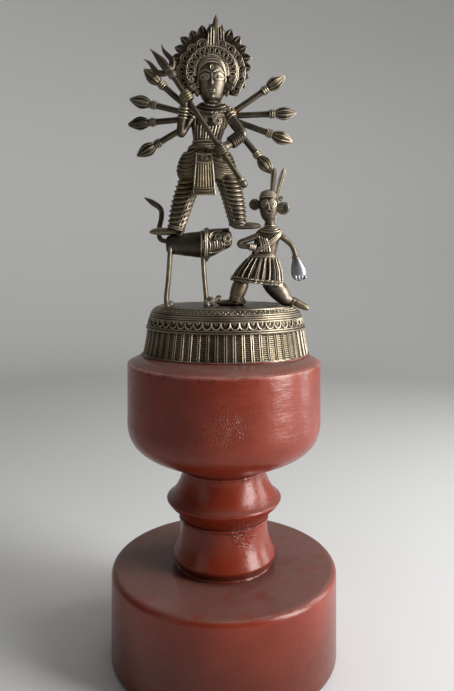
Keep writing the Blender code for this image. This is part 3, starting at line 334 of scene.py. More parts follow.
def paint_colour(paint, upward):
    """The coat's colour, from its reds up to the painted shade over it."""
    height = paint.height(paint.place)
    colour = paint.mix(paint.span(paint.grain(26.0, 4.0), 0.35, 0.68), RED_DEEP, RED_OPEN)
    stains = paint.span(paint.grain(95.0, 5.0, 0.65), 0.56, 0.74, 0.0, 0.5)
    colour = paint.mix(stains, colour, RED_STAIN)
    dust = paint.times(upward, paint.span(paint.grain(70.0, 5.0), 0.12, 0.46))
    colour = paint.mix(paint.times(dust, 0.85), colour, DUST)
    streaks = paint.span(paint.grain(120.0, 4.0, 0.6, (1.0, 1.0, 5.0)), 0.34, 0.52)
    rim = paint.times(paint.band(height, *RIM_BAND), streaks)
    colour = paint.mix(paint.times(rim, 0.6), colour, RUBBED_RIM)
    flakes = paint.span(paint.grain(210.0, 3.0, 0.6, (1.0, 1.0, 0.45)), 0.55, 0.62)
    chips = paint.times(paint.band(height, *CHIP_BAND), flakes)
    colour = paint.mix(paint.times(chips, 0.8), colour, CHIP)
    # Painted shade: the red darkens towards the floor, where the drum faces away from the light.
    colour = paint.mix(paint.span(height, SHADE_TOP, SHADE_FULL, 0.0, 0.72), colour, LOW_PAINTED_SHADE)
    # Painted shade: occlusion darkens the red in the grooves and under the blocks' overhangs, where shade
    # falls.
    return paint.mix(paint.span(paint.hollow(0.012), 0.25, 0.85), GROOVE_PAINTED_SHADE, colour)


print("rubbed rim from", round(RIM_BAND[0], 4), "to", round(RIM_BAND[-1], 4), "m")

# %% [markdown]
# ## Relief and gloss of the paint
# Brush marks run round the blocks and ripple the gloss. On the cup's front, and on a spot of the collar,
# the coat wrinkled as it dried. Modelled wrinkles would take very many faces, so a bump makes them: the
# borders of cells, bent by noise, kept inside a ragged oval. A clear coat over the red gives the gloss.
# %% Paint relief
PATCH_SQUASH = (1.0, 1.0, 1.6)
PATCH_CENTRE = (-0.013, -0.0704, PATCH_SQUASH[2] * 0.181)
COLLAR_SPOT = (0.0147, -0.0285, 0.0985)
CELL_DRIFT = (0.004, 0.004, 0.004)


def paint_relief(paint):
    """Heights of brush marks and wrinkles."""
    squashed = paint.vectors("MULTIPLY", paint.place, PATCH_SQUASH)["Vector"]
    from_patch = paint.vectors("DISTANCE", squashed, PATCH_CENTRE)["Value"]
    ragged = paint.plus(from_patch, paint.times(paint.grain(150.0, 3.0), 0.020))
    from_spot = paint.vectors("DISTANCE", paint.place, COLLAR_SPOT)["Value"]
    collar_share = paint.times(paint.span(from_spot, 0.013, 0.007), 2.2)
    wrinkled = paint.plus(paint.span(ragged, 0.047, 0.027), collar_share)
    drift = paint.node("ShaderNodeTexNoise", Vector=paint.place, Scale=180.0)["Color"]
    bent = paint.vectors("MULTIPLY_ADD", drift, CELL_DRIFT, paint.place)["Vector"]
    to_edge = {"feature": "DISTANCE_TO_EDGE"}
    borders = paint.node("ShaderNodeTexVoronoi", settings=to_edge, Vector=bent, Scale=600.0)["Distance"]
    wrinkles = paint.times(wrinkled, paint.span(borders, 0.0, 0.30, 0.0, 1.2))
    ripples = paint.plus(paint.times(paint.grain(150.0, 3.0, 0.6), 0.8),
                         paint.times(paint.grain(30.0, 2.0, 0.5, (1.0, 1.0, 3.5)), 1.8))
    brushed = paint.times(paint.grain(300.0, 3.0, 0.6, (0.22, 0.22, 3.2)), 0.55)
    return paint.plus(paint.plus(ripples, brushed), wrinkles)


paint = Finish("red_oxide_paint")
upward = paint.span(paint.height(paint.node("ShaderNodeNewGeometry")["Normal"]), 0.60, 0.95)
dry = paint.plus(paint.times(upward, 0.26), 0.32)
paint.set(Base_Color=paint_colour(paint, upward),
          Roughness=paint.plus(dry, paint.times(paint.grain(130.0, 3.0), 0.14)),
          Specular_IOR_Level=0.30, Specular_Tint=(1.0, 0.66, 0.50, 1.0),
          Coat_Weight=0.50, Coat_Roughness=0.15)
paint.bump(paint_relief(paint), 0.0005, 0.6)
PAINT = paint.material
print("paint:", PAINT.name, "with", len(paint.tree.nodes), "nodes")

# %% [markdown]
# ## Closed forms
# Most castings are rods or bodies whose thickness changes along a line. They could be sculpted from a
# block, but a row of rings along that line, skinned into one closed mesh, needs only a few sizes. The
# rings are close together, so that facets don't show, and a very small noise moves the skin, because
# hand-rolled wax is never quite round.
# %% Skins over rings
WOBBLE_SCALE = 260.0


def spot(x, y, z):
    """A place given in millimetres, with its height counted from the stand's top."""
    return Vector((0.001 * x, 0.001 * y, STAND_TOP + 0.001 * z))


def finish_piece(name, mesh, material, *nodes, body="group", slot="aged_brass"):
    """Shades a mesh, gives it its finish and body, and hides the solids that it stands for."""
    mesh.materials.clear()
    mesh.materials.append(material)
    mesh.shade_smooth()
    mesh.set_sharp_from_angle(angle=math.radians(50))
    obj = bpy.data.objects.new(name, mesh)
    bpy.context.scene.collection.objects.link(obj)
    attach(obj, body)
    if nodes:
        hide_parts(*nodes)
    return obj


def skinned(rings, name, wobble=0.00012):
    """A closed mesh over rings of equal length; wobble is how far its skin strays, in metres."""
    bm = bmesh.new()
    loops = [[bm.verts.new(point) for point in ring] for ring in rings]
    strips(bm, loops)
    for loop in (loops[0], loops[-1]):
        middle = bm.verts.new(sum((v.co for v in loop), Vector()) / len(loop))
        for i, corner in enumerate(loop):
            bm.faces.new((corner, loop[(i + 1) % len(loop)], middle))
    bmesh.ops.recalc_face_normals(bm, faces=bm.faces)
    bm.normal_update()
    for v in bm.verts:
        v.co += wobble * noise.noise(v.co * WOBBLE_SCALE) * v.normal
    return mesh_of(bm, name)


def joined(name, forms, wobble=0.00012):
    """One mesh of several closed forms, each a row of rings."""
    bm = bmesh.new()
    for rings in forms:
        form = skinned(rings, name + "_form", wobble)
        bm.from_mesh(form)
        bpy.data.meshes.remove(form)
    return mesh_of(bm, name)


print("heights are counted from", round(1000 * STAND_TOP, 1), "mm")

# %% [markdown]
# ## Smooth lines and tubes
# A rod is given by a few stops with a radius each. Straight lines between them would show corners, so
# one smooth curve runs through all the stops, and the rings stand square to it.
# %% Lines and rings


def curve_through(keys, count):
    """count rows on one smooth curve through key rows of numbers."""
    keys = [Vector(key) for key in keys]
    keys = [2 * keys[0] - keys[1], *keys, 2 * keys[-1] - keys[-2]]
    spans = len(keys) - 3
    rows = []
    for i in range(count):
        place = spans * i / (count - 1)
        span = min(int(place), spans - 1)
        t = place - span
        a, b, c, d = keys[span:span + 4]
        rows.append(0.5 * (2 * b + t * (c - a) + t * t * (2 * a - 5 * b + 4 * c - d)
                           + t ** 3 * (3 * b - a - 3 * c + d)))
    return rows


def tube_rings(points, radii, sides, flat=1.0, flutes=0, depths=None, hint=Vector((0, 1, 0))):
    """Rings along points; flat thins them towards the hint, and flutes have a depth at each point."""
    depths = depths or [0.0] * len(points)
    rings = []
    for i, (point, radius, depth) in enumerate(zip(points, radii, depths)):
        along = (points[min(i + 1, len(points) - 1)] - points[max(i - 1, 0)]).normalized()
        side = (hint - hint.dot(along) * along).normalized()
        across = along.cross(side)
        ring = []
        for turn in full_turn(sides):
            reach = radius * (1.0 - depth * (0.5 - 0.5 * math.cos(flutes * turn)))
            ring.append(point + reach * math.cos(turn) * across + flat * reach * math.sin(turn) * side)
        rings.append(ring)
    return rings


def stop_rings(stops, count, sides, flat):
    """Rings along one smooth line through stops of (x, y, z, radius) in millimetres."""
    rows = curve_through([(*spot(x, y, z), 0.001 * r) for x, y, z, r in stops], count)
    return tube_rings([row.to_3d() for row in rows], [max(row[3], 0.0001) for row in rows], sides, flat)


def level_ring(x, y, z, wide, deep, count, dip=0.0):
    """Places round a level oval whose front hangs lower by a dip, in millimetres."""
    return [spot(x + wide * math.cos(t), y + deep * math.sin(t), z - dip * max(0.0, -math.sin(t)))
            for t in full_turn(count)]


sample = curve_through([(0, 0), (1, 1), (2, 0)], 5)
print("a curve through 3 stops in 5 rows:", [round(row[1], 2) for row in sample])

# %% [markdown]
# ## Rods and bodies
# Three makers cover the castings: a rod along any line, an upright body through level ovals, and a body
# lying along X through upright ovals. Each could be its own code, but then a change of finish would have
# to be made many times.
# %% Makers of castings


def rod(name, stops, material, *nodes, count=40, sides=20, flat=1.0):
    """A casting along stops of (x, y, z, radius) in millimetres."""
    return finish_piece(name, skinned(stop_rings(stops, count, sides, flat), name), material, *nodes)


def upright(name, levels, material, *nodes, count=36, sides=40):
    """A body through level ovals of (height, x, y, half width, half depth) in millimetres."""
    rings = [level_ring(x, y, z, wide, deep, sides) for z, x, y, wide, deep in curve_through(levels, count)]
    return finish_piece(name, skinned(rings, name), material, *nodes)


def lengthwise(name, levels, material, *nodes, count=36, sides=36):
    """A body along X through upright ovals of (x, y, height, half depth, half height) in millimetres."""
    rings = [[spot(x, y + deep * math.cos(t), z + tall * math.sin(t)) for t in full_turn(sides)]
             for x, y, z, deep, tall in curve_through(levels, count)]
    return finish_piece(name, skinned(rings, name), material, *nodes)


print("makers:", [maker.__name__ for maker in (rod, upright, lengthwise)])

# %% [markdown]
# ## Stand
# Four turned blocks under one coat of paint. A Screw modifier could turn each profile. Here the profile
# becomes level rings for the same skin as the castings, in many steps, so that the gloss runs smoothly.
# %% Turned stand
LATHE_STEPS = 144
LATHE_AXIS = 0.02
LONGEST_STEP = 2.0
DRUM_RADIUS, DRUM_HEIGHT, DRUM_EDGE = 83.0, 64.0, 4.5


def dense(profile):
    """The same profile with added points, so that no straight stretch is long."""
    rows = [profile[0]]
    for (r0, z0), (r1, z1) in zip(profile, profile[1:]):
        parts = max(1, int(math.hypot(r1 - r0, z1 - z0) / LONGEST_STEP))
        rows += [(r0 + (r1 - r0) * i / parts, z0 + (z1 - z0) * i / parts) for i in range(1, parts + 1)]
    return rows


def lathe(name, profile, node):
    """A turned block from (radius, height) points in millimetres, closed near the axis."""
    rings = []
    for radius, height in dense(profile):
        radius = max(radius, LATHE_AXIS)
        rings.append([0.001 * Vector((radius * math.cos(t), radius * math.sin(t), height))
                      for t in full_turn(LATHE_STEPS)])
    return finish_piece(name, skinned(rings, name, wobble=0.0), PAINT, node, slot="red_paint")


drum = [(0, 0), (81.2, 0), (82.5, 0.6), (DRUM_RADIUS, 1.8), (DRUM_RADIUS, DRUM_HEIGHT - DRUM_EDGE)]
for degrees in range(10, 91, 10):
    turn = math.radians(degrees)
    drum.append((DRUM_RADIUS - DRUM_EDGE + DRUM_EDGE * math.cos(turn),
                 DRUM_HEIGHT - DRUM_EDGE + DRUM_EDGE * math.sin(turn)))
drum += [(40, DRUM_HEIGHT), (0, DRUM_HEIGHT)]
collar = [(0, 64.3), (34.7, 64.3), (35.5, 66.2), (36.4, 68.2), (37.8, 69.6), (38.2, 70.6), (38.2, 71.6)]
collar += curve_through([(38.0, 72.2), (36.2, 76.1), (34.3, 80.7), (33.0, 86.1), (32.25, 91.4),
                         (32.0, 97.3)], 24)
bead = [(0, 97.6), *curve_through([(31.0, 97.6), (35.2, 103.7), (39.8, 108.0), (42.35, 111.3)], 18)]
bead += [(42.6, 112.3), *curve_through([(42.2, 112.9), (39.4, 115.2), (36.1, 119.2), (33.7, 123.5),
                                        (31.8, 128.6), (31.0, 133.6)], 24)]
cup = [(0, 133.9), *curve_through([(31.0, 133.9), (33.4, 136.9), (42.4, 140.7), (54.1, 145.1), (63.5, 151.1),
                                   (69.2, 158.3), (71.5, 166.9), (71.6, 178.0)], 44)]
cup += [(71.6, 212.6), (71.4, 213.2), (70.6, 213.5), (69.0, 214.4), (66.0, 216.0), (62.2, 217.5), (0, 217.5)]
lathe("painted_drum", drum, "stand_drum")
lathe("painted_collar", [*collar, (0, 97.3)], "stand_collar")
lathe("painted_bead", [*bead, (0, 133.6)], "stand_bead")
lathe("painted_cup", cup, "stand_cup")
print("stand pieces up to", round(STAND_TOP, 4), "m")

# %% [markdown]
# ## Dowel
# A wooden dowel lines up the four blocks. It is hidden, so its solid keeps its own shape and only gets a
# plain wood finish: noise drawn out along the grain.
# %% Dowel
wood = Finish("bare_wood")
wood_grain = wood.grain(40.0, 4.0, 0.6, (6.0, 6.0, 0.6))
wood.set(Base_Color=wood.mix(wood_grain, (0.40, 0.25, 0.13), (0.52, 0.36, 0.20)), Roughness=0.7)
dowel_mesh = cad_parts["stand_dowel"].data
dowel_mesh.materials.clear()
dowel_mesh.materials.append(wood.material)
print("dowel finish:", wood.material.name)

# %% [markdown]
# ## Base casting
# The oval base has a wall that leans in, a plain band and a low dome. Wall and dome could be separate
# pieces, but they were cast in one, so one skin follows an outline that shrinks with height. The wall
# lies back a little below the band, to leave room for the wires that stand on it.
# %% Base
BASE_CENTRE = (1.2, 8.0)
BASE_HALF = (62.7, 52.0)
RIB_TOP, RIB_ROOM = 20.6, 1.0
WALL_TOP, WALL_STEPS, DOME_STEPS = 24, 8, 4
# Each row: height, share of the outline.
BASE_SHAPE = ((0.3, 1.0), (10.0, 0.972), (20.5, 0.945), (24.0, 0.930), (27.3, 0.915), (29.5, 0.908),
              (31.4, 0.90), (33.2, 0.877), (34.4, 0.85), (35.6, 0.81), (36.1, 0.78), (36.8, 0.62),
              (37.1, 0.3), (37.1, 0.02))


def read_off(table, mark):
    """The number beside a mark in a table of (mark, number) rows, in straight steps between rows."""
    for (m0, n0), (m1, n1) in zip(table, table[1:]):
        if m0 <= mark <= m1:
            return n0 + (n1 - n0) * (mark - m0) / max(m1 - m0, 1e-6)
    return table[-1][1]


def rib_room(height):
    """How far the wall lies back at a height, in millimetres."""
    return RIB_ROOM if height < RIB_TOP else 0.0


def base_oval(share, height, count=200, lift=0.0):
    """Places round the base at a share of its outline, pushed out by lift, in millimetres."""
    return level_ring(*BASE_CENTRE, height, *(half * share + lift for half in BASE_HALF), count)


base_rings = []
for (low, wide), (high, narrow) in zip(BASE_SHAPE, BASE_SHAPE[1:]):
    steps = WALL_STEPS if high < WALL_TOP else DOME_STEPS
    for i in range(steps):
        height = low + i / steps * (high - low)
        base_rings.append(base_oval(wide + i / steps * (narrow - wide), height, lift=-rib_room(height)))
base_rings.append(base_oval(BASE_SHAPE[-1][1], BASE_SHAPE[-1][0]))
finish_piece("base_casting", skinned(base_rings, "base_casting"), BRASS_DARK_AND_SHADED, "base_plinth")
print("base rings:", len(base_rings))

# %% [markdown]
# ## Lion
# A small barrel-bodied lion on four straight wire legs, with a blunt head and an S-shaped tail. Body and
# head are ovals along X, and tail and legs are rods. One loop makes the legs, since front and back differ
# in place alone.
# %% Lion
LION_Z = 82.6
LEG_Y = 4.2
# Each row: name, X of the hip, X of the paw, height of the ground under it.
LEG_PAIRS = (("lion_hindleg", -40.0, -43.0, 36.3), ("lion_foreleg", -16.0, -13.4, 37.1))
barrel = [(-43.6, 0.4, 0.5), (-43.2, 3.6, 4.4), (-42.2, 5.3, 6.2), (-39.8, 6.1, 7.1),
          (-34, 6.8, 7.9), (-26, 7.8, 9.0), (-18, 8.6, 10.0), (-15.4, 8.8, 10.3)]
lion_body = lengthwise("lion_barrel", [(x, 0, LION_Z, deep, tall) for x, deep, tall in barrel],
                       BRASS_DARK_AND_SHADED, "lion_body")
muzzle = [(-15.2, 0, LION_Z, 8.2, 10.5), (-13.8, 0, LION_Z, 9.2, 11.8), (-11.6, 0, 82.9, 9.0, 11.6),
          (-9.8, 0, 83.6, 8.2, 10.4), (-5.6, 0, 84.9, 7.6, 9.7), (-0.5, 0, 86.4, 6.5, 8.2),
          (3.7, 0, 86.6, 5.2, 6.6), (5.6, 0, 86.4, 3.2, 4.2), (6.2, 0, 86.4, 0.5, 0.6)]
lion_head = lengthwise("lion_face", muzzle, BRASS_DARK_AND_SHADED, "lion_head")
tail = [(-39.5, 4.3, 84.6, 1.9), (-48, 4.3, 86.7, 1.9), (-49, 4.3, 94.5, 1.9), (-47.2, 4.3, 103.7, 1.9),
        (-48.2, 4.3, 109.8, 2.0), (-54.4, 4.3, 114.6, 2.1), (-60.3, 4.3, 118.2, 0.4)]
rod("lion_curved_tail", tail, BRASS_DARK_AND_SHADED, "lion_tail", count=60)
for name, hip_x, paw_x, ground in LEG_PAIRS:
    for side, y in (("right", -LEG_Y), ("left", LEG_Y)):
        stops = [(hip_x, y, 80.5, 1.7), (hip_x + 0.5 * (paw_x - hip_x), y, 58.0, 1.6),
                 (paw_x, y, ground + 7.0, 1.65), (paw_x + 0.3, y, ground + 3.2, 2.0),
                 (paw_x + 1.0, y, ground + 0.4, 2.7), (paw_x + 1.1, y, ground - 0.8, 2.6)]
        rod(name + "_wire_" + side, stops, BRASS, name + "_" + side, count=30)

# %% [markdown]
# ## Goddess's body
# Hips, torso and head stand on each other as three upright bodies, each through a few level ovals. One
# skin could cover all three, but the real ones are separate castings with a seam under belt and chin.
# %% Goddess's hips, chest and head
FACE_X, HIP_X = -9.0, -13.0
hip_levels = [(132.0, 19.6, 7.6), (133.2, 20.4, 8.6), (136, 21.2, 9.8), (139.4, 21.5, 10.2),
              (146.4, 19.3, 10.0), (152.8, 15.0, 9.0), (156.4, 11.6, 7.6), (158.8, 10.4, 7.2)]
hips = upright("draped_hips", [(z, HIP_X, 0, wide, deep) for z, wide, deep in hip_levels],
               BRASS_DARK_AND_SHADED, "goddess_hips")
torso_levels = [(158.0, -13, 0, 10.4, 7.1), (162, -12.5, 0, 10.8, 7.2), (169.8, -11.5, -0.2, 12.8, 7.6),
                (177, -10.5, -0.3, 15.2, 8.0), (182.0, -9.8, 0, 16.0, 7.8), (185.6, -9.2, 0, 13.0, 7.1),
                (187.4, -9, 0, 8.6, 6.5), (188.6, -9, 0, 6.4, 6.0)]
torso = upright("goddess_chest", torso_levels, BRASS_DARK_AND_SHADED, "goddess_torso")
head_levels = [(187.6, 0, 6.2, 6.2), (189.0, -0.4, 6.0, 6.4), (190.2, -0.8, 6.6, 7.4), (191.6, -1, 7.6, 8.3),
               (197.0, -1, 9.9, 9.4), (205.0, -1, 11.0, 9.8), (212.4, -1, 10.7, 9.6), (218.7, -1, 8.7, 8.0),
               (222.5, -1, 5.4, 5.1), (224.3, -1, 1.5, 1.5)]
head = upright("goddess_face", [(z, FACE_X, y, wide, deep) for z, y, wide, deep in head_levels],
               BRASS, "goddess_head")
goddess_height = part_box("crown_crest")[1].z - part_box("goddess_right_foot")[0].z
print("goddess stands", round(1000 * goddess_height), "mm tall")

# %% [markdown]
# ## Legs under wrapped cloth
# The legs are cones of cloth in folds. Each turn of cloth laps over the one below and rises from the
# outside to the inner seam. Stacked rings could show that roughly. Here the radius of each place follows
# a formula of its height and its angle, which gives the sharp lower edge of every lap.
# %% Legs and feet
LEG_TOP, LEG_TAPER = 9.0, 3.0
FOLDS, LAP, FOLD_DEPTH = 11.5, 0.8, 1.35
FOLD_SAG, FOLD_RISE = 0.080, 0.042
LEG_RINGS, LEG_SIDES, FOLD_STEPS = 190, 44, 40
SEAM_START = 0.55
fold_lines = []


def leg_radius(share):
    """Radius of a leg at a share of its length, in millimetres."""
    return LEG_TOP - LEG_TAPER * max(0.0, share) ** 1.5


def trouser_leg(name, hip, ankle, outward, node, material):
    """A leg from hip to ankle that bows outward, in millimetres; it notes the line of each fold."""
    inner = -1 if outward > 0 else 1

    def sag(turn):
        return FOLD_SAG * abs(math.sin(turn)) ** 1.4 - FOLD_RISE * inner * math.cos(turn)

    def place(share, turn, radius):
        x, y, z = (a + (b - a) * share for a, b in zip(hip, ankle))
        x += outward * math.sin(math.pi * share)
        return spot(x + 1.06 * radius * math.cos(turn), y + radius * math.sin(turn), z)

    rings = []
    for i in range(LEG_RINGS):
        share = i / (LEG_RINGS - 1)
        ring = []
        for turn in full_turn(LEG_SIDES):
            lap = (FOLDS * (share - sag(turn))) % 1.0
            ridge = lap ** 0.8 if lap < LAP else (1.0 - lap) / (1.0 - LAP)
            seam = max(0.0, inner * math.cos(turn) - SEAM_START) / (1.0 - SEAM_START)
            ring.append(place(share, turn, leg_radius(share) - FOLD_DEPTH * (1 - ridge) * (1 - 0.8 * seam)))
        rings.append(ring)
    for n in range(1, int(FOLDS)):
        marks = [((n - 1 + LAP) / FOLDS + sag(turn), turn) for turn in full_turn(FOLD_STEPS)]
        fold_lines.append([place(share, turn, leg_radius(share) - 0.05) for share, turn in marks])
    return finish_piece(name, skinned(rings, name), material, node)


right_leg = trouser_leg("right_trouser_leg", (-23.6, 0, 134.5), (-36, -1, 92.5), -1.3,
                        "goddess_right_leg", BRASS_WARM)
left_leg = trouser_leg("left_trouser_leg", (1.5, 0, 134.5), (10.2, -1, 96.6), 1.3, "goddess_left_leg", BRASS)
right_foot = rod("right_bare_foot", [(-30.3, -1, 92.4, 1.9), (-33, -1, 92.5, 2.8), (-39, -1, 92.5, 3.0),
                                     (-46, -1.6, 92.2, 2.7), (-51, -2, 92.0, 2.2), (-55.6, -2.5, 91.8, 1.0)],
                 BRASS, "goddess_right_foot", flat=0.9)
left_foot = rod("left_bare_foot", [(5.7, -1, 97.6, 1.9), (8.5, -1, 97.2, 2.8), (13.2, -1, 96.8, 3.0),
                                   (18, -1, 96.5, 2.6), (22.5, -0.8, 96.4, 2.2), (27.4, -0.2, 96.6, 1.2)],
                BRASS, "goddess_left_foot", flat=0.9)
print("folds on both legs:", len(fold_lines))

# %% [markdown]
# ## Rear arms
# Eight straight arms fan out behind her, each ending in a bud-shaped hand. They differ in angle and
# height alone, so one profile serves all of them. Flutes begin where the bud does, and fade in there.
# %% Rear arms
SHOULDER_X, SHOULDER_REACH, SHOULDER_Z = -9.0, 14.72, 182.4
BUD_START, BUD_BLEND = 33.5, 2.5
FLUTES, FLUTE_DEPTH = 8, 0.16
# Each row: side, sign of X, angles above level, drops below the shoulder.
ARM_FANS = (("right", -1, (41.5, 14.0, -5.5, -31.0), (-0.2, 1.8, 4.6, 7.8)),
            ("left", 1, (34.6, 2.6, -20.2, -50.6), (0.6, 2.6, 5.5, 8.5)))
# Each row: distance along the arm, radius.
ARM_PROFILE = ((-2.0, 2.2), (4, 2.35), (14, 2.3), (27.3, 2.4), (33.0, 2.5), (34.4, 3.1), (36.5, 4.1),
               (38.6, 4.7), (41.0, 4.6), (44.2, 3.3), (47.2, 1.5), (49.0, 0.3))
arm_rows = curve_through(ARM_PROFILE, 90)
arm_radii = [0.001 * max(row[1], 0.1) for row in arm_rows]
arm_depths = [FLUTE_DEPTH * min(max((row[0] - BUD_START) / BUD_BLEND, 0.0), 1.0) for row in arm_rows]
arm_lines = []
for side, sign, angles, drops in ARM_FANS:
    for number, (angle, drop) in enumerate(zip(angles, drops), 1):
        turn = math.radians(angle)
        along = Vector((sign * math.cos(turn), 0, math.sin(turn)))
        root = spot(SHOULDER_X + sign * SHOULDER_REACH, 3.2, SHOULDER_Z - drop)
        points = [root + 0.001 * row[0] * along for row in arm_rows]
        rings = tube_rings(points, arm_radii, 32, flutes=FLUTES, depths=arm_depths)
        name = side + "_arm_" + str(number)
        finish_piece(name + "_bud", skinned(rings, name + "_bud"), BRASS_DARK_AND_SHADED, name)
        arm_lines.append((root, along))
print("rear arms:", len(arm_lines))

# %% [markdown]
# ## Arms that hold the trident
# Two bent arms end in fists on one slanting line. A fist could be a ball with the rod through it, but a
# rod that slides needs a hole. So each fist is a drilled barrel: a closed profile carried round the
# rod's axis, with finger ridges on its front.
# %% Arms and fists
GRIP_LEAN = math.radians(33.2)
GRIP_AXIS = Vector((-math.sin(GRIP_LEAN), 0, math.cos(GRIP_LEAN)))
GRIP_ACROSS = Vector((GRIP_AXIS.z, 0, -GRIP_AXIS.x))
BEHIND = Vector((0, 1, 0))
LOWER_GRIP = spot(-2.0, -15.0, 151.2)
UPPER_GRIP = LOWER_GRIP + 0.046 * GRIP_AXIS
# Each row: distance from the rod's axis, distance along it.
FIST_PROFILE = ((2.35, -3.8), (3.3, -4.0), (4.2, -3.4), (4.65, -1.6), (4.75, 0.0), (4.65, 1.6), (4.2, 3.4),
                (3.3, 4.0), (2.35, 3.8), (2.35, -3.8))
rod("right_forearm", [(-20.5, -3.8, 181.4, 3.1), (-26.3, -6.3, 173.2, 3.1), (-31.6, -8.7, 164.2, 3.1),
                      (-30.6, -11.0, 174.0, 3.2), (-27.9, -14.0, 186.6, 2.9)],
    BRASS_DARK_AND_SHADED, "right_main_arm", count=70)
rod("left_forearm", [(2.5, -3.8, 181.4, 3.1), (8.3, -6.3, 173.2, 3.1), (13.8, -8.8, 163.8, 3.1),
                     (7.6, -11.4, 158.6, 3.2), (0.6, -14.0, 153.4, 3.0)], BRASS, "left_main_arm", count=70)


def looped(rings, name):
    """A closed mesh over rings that come back to the first one."""
    bm = bmesh.new()
    loops = [[bm.verts.new(point) for point in ring] for ring in rings]
    strips(bm, loops + loops[:1])
    bmesh.ops.recalc_face_normals(bm, faces=bm.faces)
    return mesh_of(bm, name)


def closed_hand(name, grip, node, material):
    """A fist round the rod: a drilled barrel with four finger ridges on its front."""
    rings = []
    for reach, along in curve_through(FIST_PROFILE, 64)[:-1]:
        ring = []
        for turn in full_turn(36):
            knuckle = 0.0
            if reach > 3.2 and math.sin(turn) < 0.2:
                knuckle = 0.32 * abs(math.sin(math.pi * (along + 4) / 2.0)) - 0.16
            out = math.cos(turn) * GRIP_ACROSS + math.sin(turn) * BEHIND
            ring.append(grip + 0.001 * along * GRIP_AXIS + 0.001 * (reach + knuckle) * out)
        rings.append(ring)
    return finish_piece(name, looped(rings, name), material, node)


closed_hand("upper_hand", UPPER_GRIP, "right_fist", BRASS_WARM)
closed_hand("lower_hand", LOWER_GRIP, "left_fist", BRASS_DARK_AND_SHADED)
print("grips", UPPER_GRIP, LOWER_GRIP)

# %% [markdown]
# ## Trident
# A straight rod with a turned knob below and a three-pronged fork above, all on the sliding body. The
# knob and the fork's collar are turned on the rod's axis. The prongs are flat tapered rods that overlap
# at the root, as they do where they were brazed.
# %% Trident
HEAD_FOOT = UPPER_GRIP + 0.017 * GRIP_AXIS
KNOB_TOP = LOWER_GRIP - 0.025 * GRIP_AXIS
FORK_LEAN = math.radians(6.5)
FORK_ALONG = math.cos(FORK_LEAN) * GRIP_AXIS - math.sin(FORK_LEAN) * GRIP_ACROSS
FORK_ASIDE = math.cos(FORK_LEAN) * GRIP_ACROSS + math.sin(FORK_LEAN) * GRIP_AXIS
TURNED_WOBBLE = 0.00004


def on_axis(origin, profile, count):
    """Rings of a turned piece on the trident's axis from (distance, radius) in millimetres."""
    rows = curve_through(profile, count)
    points = [origin + 0.001 * row[0] * GRIP_AXIS for row in rows]
    return tube_rings(points, [0.001 * max(row[1], 0.05) for row in rows], 28)


def fork_prong(stops):
    """Rings of one prong from (aside, along, half width) in millimetres."""
    rows = curve_through(stops, 40)
    points = [HEAD_FOOT + 0.001 * (row[0] * FORK_ASIDE + row[1] * FORK_ALONG) for row in rows]
    return tube_rings(points, [0.001 * max(row[2], 0.08) for row in rows], 16, flat=0.62)


shaft_profile = [(-4, 1.85), (20, 1.9), (50, 1.9), (80, 1.9), (91, 1.88)]
knob_profile = [(0.0, 1.95), (-0.2, 2.5), (-1.0, 2.75), (-2.3, 2.45), (-3.6, 2.85), (-5.4, 2.9),
                (-7.0, 2.2), (-7.8, 0.6)]
for name, profile, node in (("trident_rod", shaft_profile, "trident_shaft"),
                            ("trident_knob_end", knob_profile, "trident_knob")):
    mesh = skinned(on_axis(KNOB_TOP, profile, 60), name, TURNED_WOBBLE)
    finish_piece(name, mesh, BRASS_DARK_AND_SHADED, node, body="trident")
fork = [on_axis(HEAD_FOOT, [(0.0, 2.3), (0.2, 2.9), (1.2, 3.2), (3.6, 3.0), (6.4, 3.3), (8.6, 2.4)], 30)]
fork.append(fork_prong([(0.0, 5.0, 2.6), (0.3, 10.0, 3.1), (0.6, 15.0, 3.0), (0.5, 20.5, 1.8),
                        (0.0, 27.0, 0.15)]))
for sign in (-1, 1):
    fork.append(fork_prong([(0.0, 5.6, 2.4), (sign * 4.2, 7.0, 2.5), (sign * 7.0, 10.6, 2.2),
                            (sign * 6.9, 15.0, 1.9), (sign * 6.9, 19.4, 1.3), (sign * 8.5, 24.4, 0.12)]))
fork_mesh = joined("trident_fork", fork, TURNED_WOBBLE)
finish_piece("trident_fork", fork_mesh, BRASS_DARK_AND_SHADED, "trident_head", body="trident")
print("trident tip", HEAD_FOOT + 0.027 * FORK_ALONG)

# %% [markdown]
# ## Demon's chest, head and skirt
# The demon leans back under her foot: a slim chest and head, and a bell-shaped skirt of pleats. The
# skirt could be a cone with wires alone, but its hem is scalloped, so the pleats are in its radius.
# %% Demon's body
SKIRT_PLEATS, SKIRT_SIDES = 22, 132
SKIRT_TOP, SKIRT_DROP = 75.0, 21.0
WAIST_X, SKIRT_LEAN, HEM_TILT = 29.5, -5.0, 0.1228
WAIST_HALF, HEM_GROWTH = (9.2, 5.5), (9.5, 7.0)
